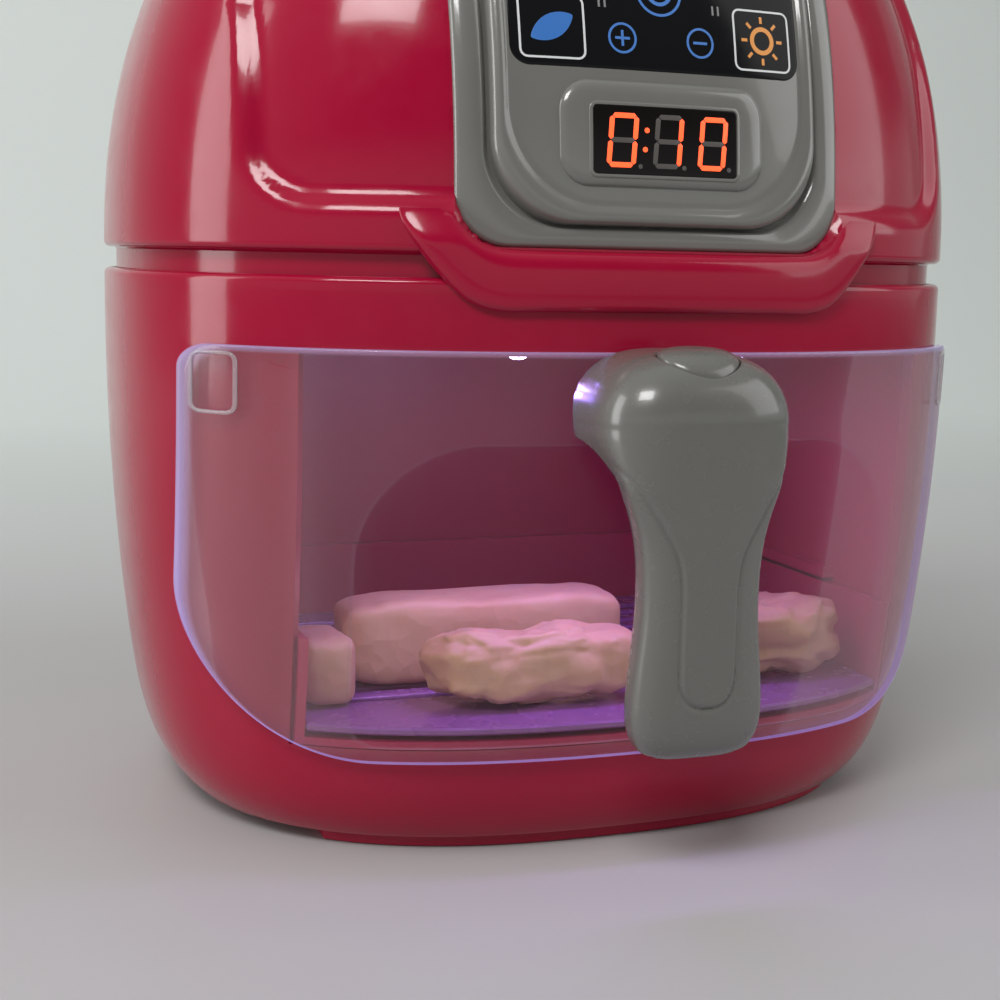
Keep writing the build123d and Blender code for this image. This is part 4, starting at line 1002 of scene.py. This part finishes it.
def drawer_front_body():
    """Curved clear shell: frosted outside the arch, a small step down to the polished window inside it."""
    step = SHELL_OUTER + WINDOW_STEP
    window_shares = np.linspace(0, 1, 14)[1:-1]
    # Share of the way from the shell's edge to the arch, share of the window, inset, rim and frost; the rim
    # value is how much painted glow the ring gets
    back = [(1.0, share, SHELL_BACK, 0.0, 0.0) for share in window_shares]
    back += [(share, 1.0, SHELL_BACK, 0.0, 1.0) for share in (1.0, 0.9, 0.7, 0.5, 0.3, 0.12, 0.04)]
    # The shell's edge wall and the face next to it carry the painted rim glow
    edge = [(0.012, 1.0, SHELL_BACK, 0.8, 1.0), (0.0, 1.0, -0.45, 1.0, 1.0), (0.0, 1.0, -0.9, 1.0, 1.0),
            (0.0, 1.0, -1.5, 1.0, 1.0), (0.004, 1.0, -1.85, 1.0, 1.0), (0.012, 1.0, SHELL_OUTER, 1.0, 1.0)]
    face = [(share, 1.0, SHELL_OUTER, glow, 1.0) for share, glow in ((0.03, 0.9), (0.055, 0.5))]
    face += [(share, 1.0, SHELL_OUTER, 0.0, 1.0) for share in (
        0.075, 0.12, 0.2, 0.3, 0.4, 0.5, 0.6, 0.7, 0.8, 0.9, 0.97, 0.988)]
    # Painted highlight: the rings at the arch's step get double frost and a little rim glow, a pale line
    # along the step
    face += [(1.0, 1.0, SHELL_OUTER + 0.06, 0.1, 2.0), (1.0, 0.994, step, 0.1, 2.0),
             (1.0, 0.986, step, 0.0, 0.0)]
    face += [(1.0, share, step, 0.0, 0.0) for share in window_shares[::-1] * 0.985]
    middle = np.array([0.0, WINDOW_MIDDLE])
    loops, rim, frost_and_sheen = [], [], []
    for way, window, inset, glow, haze in back + edge + face:
        flat = shell_outline + (arch_outline - shell_outline) * way
        flat = middle + (flat - middle) * window
        loops.append(draped(flat, lower_front, inset))
        rim += [glow] * len(flat)
        # The haze is heavier towards the shell's ends: partly the frosted finish, partly a painted reflection
        # on the curved ends
        towards_end = smooth_step((np.abs(flat[:, 0]) - END_HAZE_START) / END_HAZE_RUN)
        frost_and_sheen += list(haze * (1 + END_FROST_AND_REFLECTION * towards_end))
    points, faces = stacked_loops(loops)
    return points, faces, rim + [0.0, 0.0], frost_and_sheen + [0.0, 0.0]


def drawer_front_piece():
    points, faces, rim, frost_and_sheen = drawer_front_body()
    front = new_piece("drawer_front_shell", points, faces, clear_front)
    front.data.attributes.new("rim", "FLOAT", "POINT").data.foreach_set("value", rim)
    front.data.attributes.new("frost_and_sheen", "FLOAT", "POINT").data.foreach_set("value", frost_and_sheen)
    return sharp_edges(face_outwards(front, merge=False), 50)


clear_shell = drawer_front_piece()
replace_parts(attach(clear_shell, "drawer"), "drawer_front")

# Thicker corner blocks moulded on the shell's upper ends
for side, label in ((-1, "left"), (1, "right")):
    block = rounded_outline(7.0, 89.5, 101.0, 1.6, 1.6, 6, 6) + [side * 82.3, 0]
    ridge = ribbon_body(block, 0.7, lower_front, SHELL_OUTER + 0.5, SHELL_OUTER - 0.12, True)
    ribs = face_outwards(new_piece(f"drawer_front_corner_{label}", *ridge, clear_ribs))
    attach(ribs, "drawer")


# Handle: head with its strip, and the grip, as one smooth form with a seam

HEAD_RISE = 90.5
CROWN_HEIGHT = HANDLE_TOP - HEAD_RISE
CROWN_DEPTH = 16.0
GRIP_DEPTH = 6.0
NECK_START = 78.0
STRIP_LOW = 37.95
SEAM_DEPTH = 0.65
SEAM_WIDTH = 0.42
STRIP_STEP = 0.32
BUTTON_Y = -90.5
BUTTON_REACH = (7.95, 6.35)
POCKET_REACH = (8.2, 6.6)
POCKET_DEPTH = 5.2


def crown_height(x, y):
    """Height of the head's rounded top over a point."""
    behind = CROWN_DEPTH - HANDLE_FACE
    out = ((np.abs(x) / HEAD_HALF_WIDTH) ** HANDLE_POWER
           + (np.maximum(behind - y, 0) / CROWN_DEPTH) ** HANDLE_POWER)
    return HEAD_RISE + CROWN_HEIGHT * np.sqrt(np.maximum(1 - out, 0))


def handle_body():
    """Handle from its low end to the pocket in its top, with the seam and the raised strip in its face."""
    widths = smooth_path([(28.0, 8.4), (30.0, 11.7), (37.0, 13.5), (56.0, 12.0), (68.5, 12.7), (78.5, 15.8),
                          (86.5, 18.9), (HEAD_RISE, HEAD_HALF_WIDTH)], 190)
    seam = smooth_path([(19.6, 85.2), (17.8, 83.2), (13.6, 78.2), (9.4, 71.6), (6.8, 66.4), (5.9, 61.0),
                        (5.8, 54.0), (5.8, 44.5), (5.3, 41.2), (3.7, 38.9), (1.6, 38.05),
                        (0.0, STRIP_LOW)], 160)
    front = np.radians(np.linspace(-178, -2, 120))
    back = np.radians(np.linspace(2, 178, 52))
    loops = []
    for height, half_width in widths:
        tip = 2.7 * math.exp(-(height - HANDLE_BOTTOM) / 2.2)
        up_neck = float(smooth_step((height - NECK_START) / (HEAD_RISE - NECK_START)))
        deepen = (CROWN_DEPTH - GRIP_DEPTH) * up_neck
        middle = GRIP_DEPTH + deepen - HANDLE_FACE
        depth = GRIP_DEPTH + deepen - tip
        reach = oval_reach(np.cos(front), np.sin(front), half_width, depth, HANDLE_POWER)
        x, y = reach * np.cos(front), reach * np.sin(front)
        gap = np.hypot(np.abs(x)[:, None] - seam[None, :, 0], height - seam[None, :, 1]).min(1)
        on_strip = (np.abs(x) < np.interp(height, seam[::-1, 1], seam[::-1, 0])) & (height > STRIP_LOW)
        groove = SEAM_DEPTH * np.exp(-(gap / SEAM_WIDTH) ** 2)
        step = np.where(on_strip, 0.0, STRIP_STEP * smooth_step(gap / 0.8))
        step = step * smooth_step((86.0 - height) / 3.0)
        y = y + (groove + step) * smooth_step((-y - 0.5) / 2.0) + middle
        spread = min(max((height - 80.0) / 6.5, 0.0), 1.0)
        spread = 1 - math.sqrt(1 - spread ** 2)
        power = HANDLE_POWER + 9 * spread
        rear = 2 * GRIP_DEPTH - tip - HANDLE_FACE
        back_depth = rear - middle if spread < 0.02 else 12.0
        reach = oval_reach(np.cos(back), np.sin(back), half_width, back_depth, power)
        back_x = reach * np.cos(back)
        share = reach * np.sin(back) / back_depth
        shell = lower_front(back_x, np.full_like(back_x, height), SHELL_OUTER) + 0.3
        back_y = middle + share * (rear * (1 - spread) + shell * spread - middle)
        loops.append(at_level(np.concatenate([x, back_x]), np.concatenate([y, back_y]), height))
    bottom = loops[0]
    centre = bottom.mean(0)
    below = [centre + (bottom - centre) * share for share in (0.25, 0.5, 0.75, 0.92)]

    # Rounded top, from the last loop in to the edge of the button's pocket
    outer = loops[-1]
    turn = np.arctan2(outer[:, 1] - BUTTON_Y, outer[:, 0])
    reach = 1 / np.hypot(np.cos(turn) / POCKET_REACH[0], np.sin(turn) / POCKET_REACH[1])
    rim = np.stack([reach * np.cos(turn), BUTTON_Y + reach * np.sin(turn)], 1)

    def crown(share, drop=0.0):
        flat = rim + (outer[:, :2] - rim) * share
        return np.stack([*flat.T, crown_height(*flat.T) - drop], 1)

    over = crown(1.0)
    over[:, 2] = np.where(outer[:, 1] > CROWN_DEPTH - HANDLE_FACE + 0.01, over[:, 2], HEAD_RISE)
    top = [over] + [crown(share) for share in np.sin(np.radians(np.linspace(87, 2, 32)))]
    top += [crown(0.008, 0.12), crown(0.0, 0.35), crown(0.0, 2.5), crown(0.0, POCKET_DEPTH)]
    spot = np.array([0.0, BUTTON_Y])
    for share in (0.75, 0.5, 0.25):
        flat = spot + (rim - spot) * share
        top.append(np.stack([*flat.T, crown_height(*flat.T) - POCKET_DEPTH], 1))
    return stacked_loops(below + loops + top)


def button_body():
    """Raised oval that follows the head's top, with a skirt down into its pocket."""
    turn = np.radians(np.arange(0, 360, 4))
    loops = []
    for size, lift in ((0.3, -2.2), (0.7, -2.2), (0.97, -2.2), (1.0, -2.0), (1.0, -1.2), (1.0, -0.45),
                       (0.985, -0.08), (0.95, 0.26), (0.89, 0.52), (0.8, 0.74), (0.68, 0.9), (0.52, 1.02),
                       (0.34, 1.09), (0.16, 1.12)):
        x = BUTTON_REACH[0] * size * np.cos(turn)
        y = BUTTON_Y + BUTTON_REACH[1] * size * np.sin(turn)
        loops.append(np.stack([x, y, crown_height(x, y) + lift], 1))
    return stacked_loops(loops)


handle = sharp_edges(face_outwards(new_piece("handle_shell", *handle_body(), handle_grey)), 60)
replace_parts(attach(handle, "drawer"), "handle_head", "handle_grip")
button = face_outwards(new_piece("release_button_cap", *button_body(), handle_grey))
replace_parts(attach(button, "button"), "release_button")


# Grill plate: a frame with a row of rounded ribs

GRILL_HALF_WIDTH = 65.1
GRILL_BACK = 43.1
GRILL_THICKNESS = 1.6
GRILL_CORNER = 10.5
RIB_PITCH = 8.0
RIB_WIDTH = 4.8
SLOT_COUNT = 10
SLOT_REACH = GRILL_HALF_WIDTH - 7.0
SLOT_FIELD = SLOT_COUNT * RIB_PITCH - RIB_WIDTH
BAR_OVERLAP = 2.0
SLOT_MIDDLE_Y = -5.45
GRILL_BAR = 6.0


def grill_frame_body():
    """Flat ring between the plate's outer outline and the slots' outline."""
    centre = np.array([0.0, SLOT_MIDDLE_Y])
    count, step = 240, 0.05
    turn = np.linspace(0, 2 * math.pi, count, endpoint=False)
    way = np.stack([np.cos(turn), np.sin(turn)], 1)
    # The outer outline is found by walking outwards from the centre in small steps
    reach = np.linspace(0, 95, 1901)[:, None, None]
    spots = centre + way[None] * reach
    x, y = spots[..., 0], spots[..., 1]
    half_width = lower_half_width(GRILL_TOP) - 0.3
    front = oval_front(x, half_width, half_width * BODY_DEPTH / BODY_WIDTH)
    past_x = np.maximum(np.abs(x) - GRILL_HALF_WIDTH + GRILL_CORNER, 0)
    past_y = np.maximum(y - GRILL_BACK + GRILL_CORNER, 0)
    within = ((np.abs(x) < GRILL_HALF_WIDTH) & (y < GRILL_BACK) & (y > front)
              & (np.hypot(past_x, past_y) < GRILL_CORNER))
    outer = centre + way * (within.sum(0) * step)[:, None]
    half_depth = SLOT_FIELD / 2
    limits = np.stack([SLOT_REACH / np.maximum(np.abs(way[:, 0]), 1e-6),
                       half_depth / np.maximum(np.abs(way[:, 1]), 1e-6)])
    inner = centre + way * limits.min(0)[:, None]
    loops = []
    for flat, shift, level in ((outer, -0.4, 0.0), (outer, 0.0, 0.4), (outer, 0.0, 1.2), (outer, -0.4, 1.6),
                               (inner, 0.4, 1.6), (inner, 0.0, 1.2), (inner, 0.0, 0.4), (inner, 0.4, 0.0)):
        moved = flat + way * shift
        loops.append(at_level(moved[:, 0], moved[:, 1], GRILL_TOP - GRILL_THICKNESS + level))
    faces = loops_to_faces(count, len(loops))
    last = (len(loops) - 1) * count
    faces += [(last + i, last + (i + 1) % count, (i + 1) % count, i) for i in range(count)]
    return np.concatenate(loops), faces


grill_frame = sharp_edges(face_outwards(new_piece("grill_frame", *grill_frame_body(), grill_violet)))
grill_ribs, middle_bar = (grown_by_nodes(name, BARS, [(0, 0, 0)], {
    "Count": count, "Pitch": RIB_PITCH * MM, "Length": (length + BAR_OVERLAP) * MM, "Width": width * MM,
    "Height": height * MM, "Corner": 0.45 * MM, "Material": grill_violet})
    for name, count, length, width, height in (
        ("grill_ribs", SLOT_COUNT - 1, 2 * SLOT_REACH, RIB_WIDTH, GRILL_THICKNESS),
        ("grill_middle_bar", 1, SLOT_FIELD, GRILL_BAR, GRILL_THICKNESS - 0.1)))
grill_ribs.data.transform(Matrix.Rotation(math.pi / 2, 4, "Z"))
for bars in (grill_ribs, middle_bar):
    bars.data.transform(Matrix.Translation(Vector((0, SLOT_MIDDLE_Y, GRILL_TOP - GRILL_THICKNESS / 2)) * MM))
    sharp_edges(bars)
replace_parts(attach(grill_frame, "drawer"), "grill_plate")
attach(grill_ribs, "drawer")
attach(middle_bar, "drawer")


# Screws that hold the base plate: one screw, copied

SCREW_SPOTS = ((45.0, 46.0), (46.0, 18.0))


def screw_piece(name, length):
    """Pan head with a cross recess and a ringed shank, its head below the seat."""
    profile = [(-1.6, 0.5), (-1.6, 1.3), (-1.52, 2.1), (-1.3, 2.6), (-0.9, 2.85), (0.0, 2.9), (0.0, 1.45)]
    for turn in range(int((length - 2.0) / 0.8)):
        profile += [(0.2 + turn * 0.8, 1.2), (0.6 + turn * 0.8, 1.5)]
    profile += [(length - 1.5, 1.2), (length, 0.3)]
    body = rod(name, profile, (0, 0, 1), screw_steel, 28)
    cross = (prism("bar_cutter", rounded_outline(width, -depth / 2, depth / 2, 0.1, 0.1, 3, 2),
                   -2.0, -0.8, screw_steel, "z") for width, depth in ((3.4, 0.7), (0.7, 3.4)))
    return cut_out(body, *cross)


one_screw = screw_piece("one_screw", 12.0)
screw_spots = [(x * across, y * along, SCREW_SEAT) for across, along in SCREW_SPOTS
               for x in (-1, 1) for y in (-1, 1)]
base_screws = grown_by_nodes("base_screw_set", COPIES, screw_spots, {
    "Piece": one_screw, "Largest Turn": 1.5, "Seed": 5, "Material": screw_steel})
bpy.data.objects.remove(one_screw)
sharp_edges(base_screws)
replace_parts(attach(base_screws, "housing"), "base_screws")


# Play food: lumps with uneven skins, flat where they lie on the grill

def lump_body(x, y, length, depth, height, power, rough, seed, turn_by=0.0, grain=0.09):
    """Uneven lump whose box is the given one."""
    rows, columns = 46, 76
    loops = []
    for row in range(1, rows):
        rise = math.pi * row / rows - math.pi / 2
        loop = []
        for column in range(columns):
            around = 2 * math.pi * column / columns
            cx = math.copysign(abs(math.cos(around)) ** (2 / power), math.cos(around))
            cy = math.copysign(abs(math.sin(around)) ** (2 / power), math.sin(around))
            flat = max(math.cos(rise), 0) ** (2 / power)
            up = math.copysign(abs(math.sin(rise)) ** (2 / power), math.sin(rise))
            p = Vector((cx * flat * length / 2, cy * flat * depth / 2, up * height / 2))
            way = p.normalized()
            bump = noise.noise(p * grain + Vector((seed, seed * 2, 0))) * rough
            bump += noise.noise(p * grain * 2.7 + Vector((seed, 0, seed))) * rough * 0.5
            bump += noise.noise(p * grain * 7.0) * rough * 0.2
            p += way * (bump - rough * 0.75)
            p.x = max(min(p.x, length / 2), -length / 2)
            p.y = max(min(p.y, depth / 2), -depth / 2)
            loop.append((p.x, p.y, p.z))
        loops.append(np.array(loop))
    points, faces = stacked_loops(loops)
    c, s = math.cos(turn_by), math.sin(turn_by)
    points = np.stack([x + points[:, 0] * c - points[:, 1] * s, y + points[:, 0] * s + points[:, 1] * c,
                       np.clip(GRILL_TOP + height / 2 + points[:, 2], GRILL_TOP + 0.05, None)], 1)
    return points, faces


for label, node, values in (
        ("food_finger_lump", "food_finger", (-19.0, -27.0, 66.0, 17.0, 19.0, 6.0, 0.9, 3.0)),
        ("food_nugget_lump", "food_nugget", (-16.0, -51.0, 48.0, 20.0, 17.0, 3.4, 3.0, 11.0)),
        ("food_wing_lump", "food_wing", (40.0, -43.0, 48.0, 24.0, 19.0, 3.0, 3.6, 21.0)),
        ("food_bite_lump", "food_bite", (-58.0, -38.0, 12.0, 20.0, 15.0, 5.0, 0.7, 33.0))):
    lump = face_outwards(new_piece(label, *lump_body(*values), food_vinyl))
    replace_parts(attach(lump, "drawer"), node)


# Finishes of the pieces that keep the part's own shape

FINISHES = {
    pink_gloss: ["base_plate", "battery_door"],
    pink_inside: ["bay_liner", "drawer_tub"],
    screw_steel: ["battery_contacts", "battery_door_screw", "board_screws", "dome_screws",
                  "handle_screws", "release_spring", "touch_contacts"],
    black_plastic: ["speaker", "switch_body", "switch_knob"],
    board_green: ["control_board", "lamp_board"],
    lamp_lens: ["lamps"],
}
for material, names in FINISHES.items():
    for name in names:
        mesh = nodes[name].data
        mesh.materials.clear()
        mesh.materials.append(material)


# Floor, backdrop, lamps and camera

FLOOR_REACH = 4500
COVE_START = 700
COVE_RADIUS = 420
BACKDROP_TOP = 1700


def studio():
    """Floor that turns up into a backdrop, pale far behind the toy."""
    profile = [(y, 0.0) for y in np.linspace(-FLOOR_REACH, COVE_START, 14)]
    profile += [(COVE_START + COVE_RADIUS * math.sin(t), COVE_RADIUS * (1 - math.cos(t)))
                for t in np.radians(np.linspace(6, 90, 15))]
    profile += [(COVE_START + COVE_RADIUS, z) for z in np.linspace(COVE_RADIUS + 100, BACKDROP_TOP, 6)]
    points, faces = [], []
    for y, z in profile:
        points += [(-FLOOR_REACH, y, z), (FLOOR_REACH, y, z)]
    for i in range(len(profile) - 1):
        faces.append((2 * i, 2 * i + 1, 2 * i + 3, 2 * i + 2))
    material, tree, shader = new_material("pale_floor")
    where = linked(tree, "ShaderNodeTexCoord").outputs["Object"]
    near = mixed_colour(tree, noise_of(tree, where, 3.0, 2.0), (0.42, 0.405, 0.41, 1),
                        (0.46, 0.45, 0.45, 1))
    depth = linked(tree, "ShaderNodeSeparateXYZ", {0: where}).outputs["Y"]
    colour = mixed_colour(tree, ramp(tree, depth, 0.15, 0.75, 0.0, 1.0), near, (0.86, 0.89, 0.87, 1))
    tree.links.new(colour, shader.inputs["Base Color"])
    shader.inputs["Roughness"].default_value = 0.55
    floor = new_piece("floor", points, faces, material)


def area_lamp(name, place, target, size, power, colour=(1, 1, 1)):
    lamp = bpy.data.lights.new(name, "AREA")
    lamp.shape = "RECTANGLE"
    lamp.size, lamp.size_y = size
    lamp.energy = power
    lamp.color = colour
    holder = bpy.data.objects.new(name, lamp)
    scene.collection.objects.link(holder)
    holder.location = place
    holder.rotation_mode = "QUATERNION"
    holder.rotation_quaternion = (Vector(target) - Vector(place)).to_track_quat("-Z", "Y")


LAMP_PITCH = 0.024

studio()
area_lamp("key_lamp", (-0.55, -0.75, 1.0), (0, 0, 0.08), (0.5, 0.35), 9.0)
area_lamp("side_lamp", (-1.0, 0.05, 0.35), (0, 0, 0.12), (0.35, 0.9), 5.0)
area_lamp("fill_lamp", (0.9, -0.5, 0.6), (0, 0, 0.10), (0.8, 0.8), 4.0)
area_lamp("bay_lamp", (0.0, -0.055, 0.0985), (0.0, -0.045, 0.03), (0.07, 0.006), 0.05, (0.50, 0.28, 1.0))
for lamp_x in (-LAMP_PITCH, 0.0, LAMP_PITCH):
    glow = bpy.data.objects.new("lamp_glow", bpy.data.lights.new("lamp_glow", "POINT"))
    glow.data.energy = 0.007
    glow.data.color = (0.35, 0.22, 1.0)
    glow.data.shadow_soft_size = 0.0015
    glow.location = (lamp_x, -0.0635, 0.0975)
    scene.collection.objects.link(glow)

def studio_air():
    """Pale behind the toy and along the horizon, dark above it in front and dim to the right."""
    world = bpy.data.worlds.new("studio_air")
    scene.world = world
    world.use_nodes = True
    tree = world.node_tree
    air = tree.nodes["Background"]
    aim = linked(tree, "ShaderNodeSeparateXYZ", {
        0: linked(tree, "ShaderNodeTexCoord").outputs["Generated"]}).outputs
    horizon = ramp(tree, aim["Z"], 0.16, 0.30, 1.0, 0.0)
    pale = maths(tree, "MAXIMUM", ramp(tree, aim["Y"], -0.85, -0.1, 0.0, 1.0), horizon)
    bright = maths(tree, "MAXIMUM", ramp(tree, aim["X"], 0.3, 0.9, 1.0, 0.3), horizon)
    tone = mixed_colour(tree, pale, (0.08, 0.085, 0.085, 1), (0.62, 0.66, 0.64, 1))
    toned = linked(tree, "ShaderNodeHueSaturation", {"Color": tone, "Value": bright})
    tree.links.new(toned.outputs[0], air.inputs["Color"])
    air.inputs["Strength"].default_value = 0.85


studio_air()


# Yaw, pitch and roll in degrees, and the focal length in the photograph's pixels
CAMERA_TURN = (20.5, 8.4, 1.26)
CAMERA_PLACE = (-0.1417, -0.3666, 0.1206)
FILM_WIDTH = 36.0
FOCAL_PIXELS = 1664.0
PHOTO_PIXELS = 1000.0


def camera():
    yaw, pitch, roll = (math.radians(angle) for angle in CAMERA_TURN)
    ahead = Vector((math.sin(yaw) * math.cos(pitch), math.cos(yaw) * math.cos(pitch), -math.sin(pitch)))
    right = Vector((math.cos(yaw), -math.sin(yaw), 0))
    up = right.cross(ahead)
    rolled_right = right * math.cos(roll) + up * math.sin(roll)
    rolled_up = up * math.cos(roll) - right * math.sin(roll)
    holder = bpy.data.objects.new("camera", bpy.data.cameras.new("camera"))
    scene.collection.objects.link(holder)
    place = Matrix((rolled_right, rolled_up, -ahead)).transposed().to_4x4()
    place.translation = Vector(CAMERA_PLACE)
    holder.matrix_world = place
    holder.data.sensor_width = FILM_WIDTH
    holder.data.lens = FOCAL_PIXELS / PHOTO_PIXELS * FILM_WIDTH
    holder.data.clip_start = 0.01
    scene.camera = holder


camera()
scene.view_settings.view_transform = "Standard"
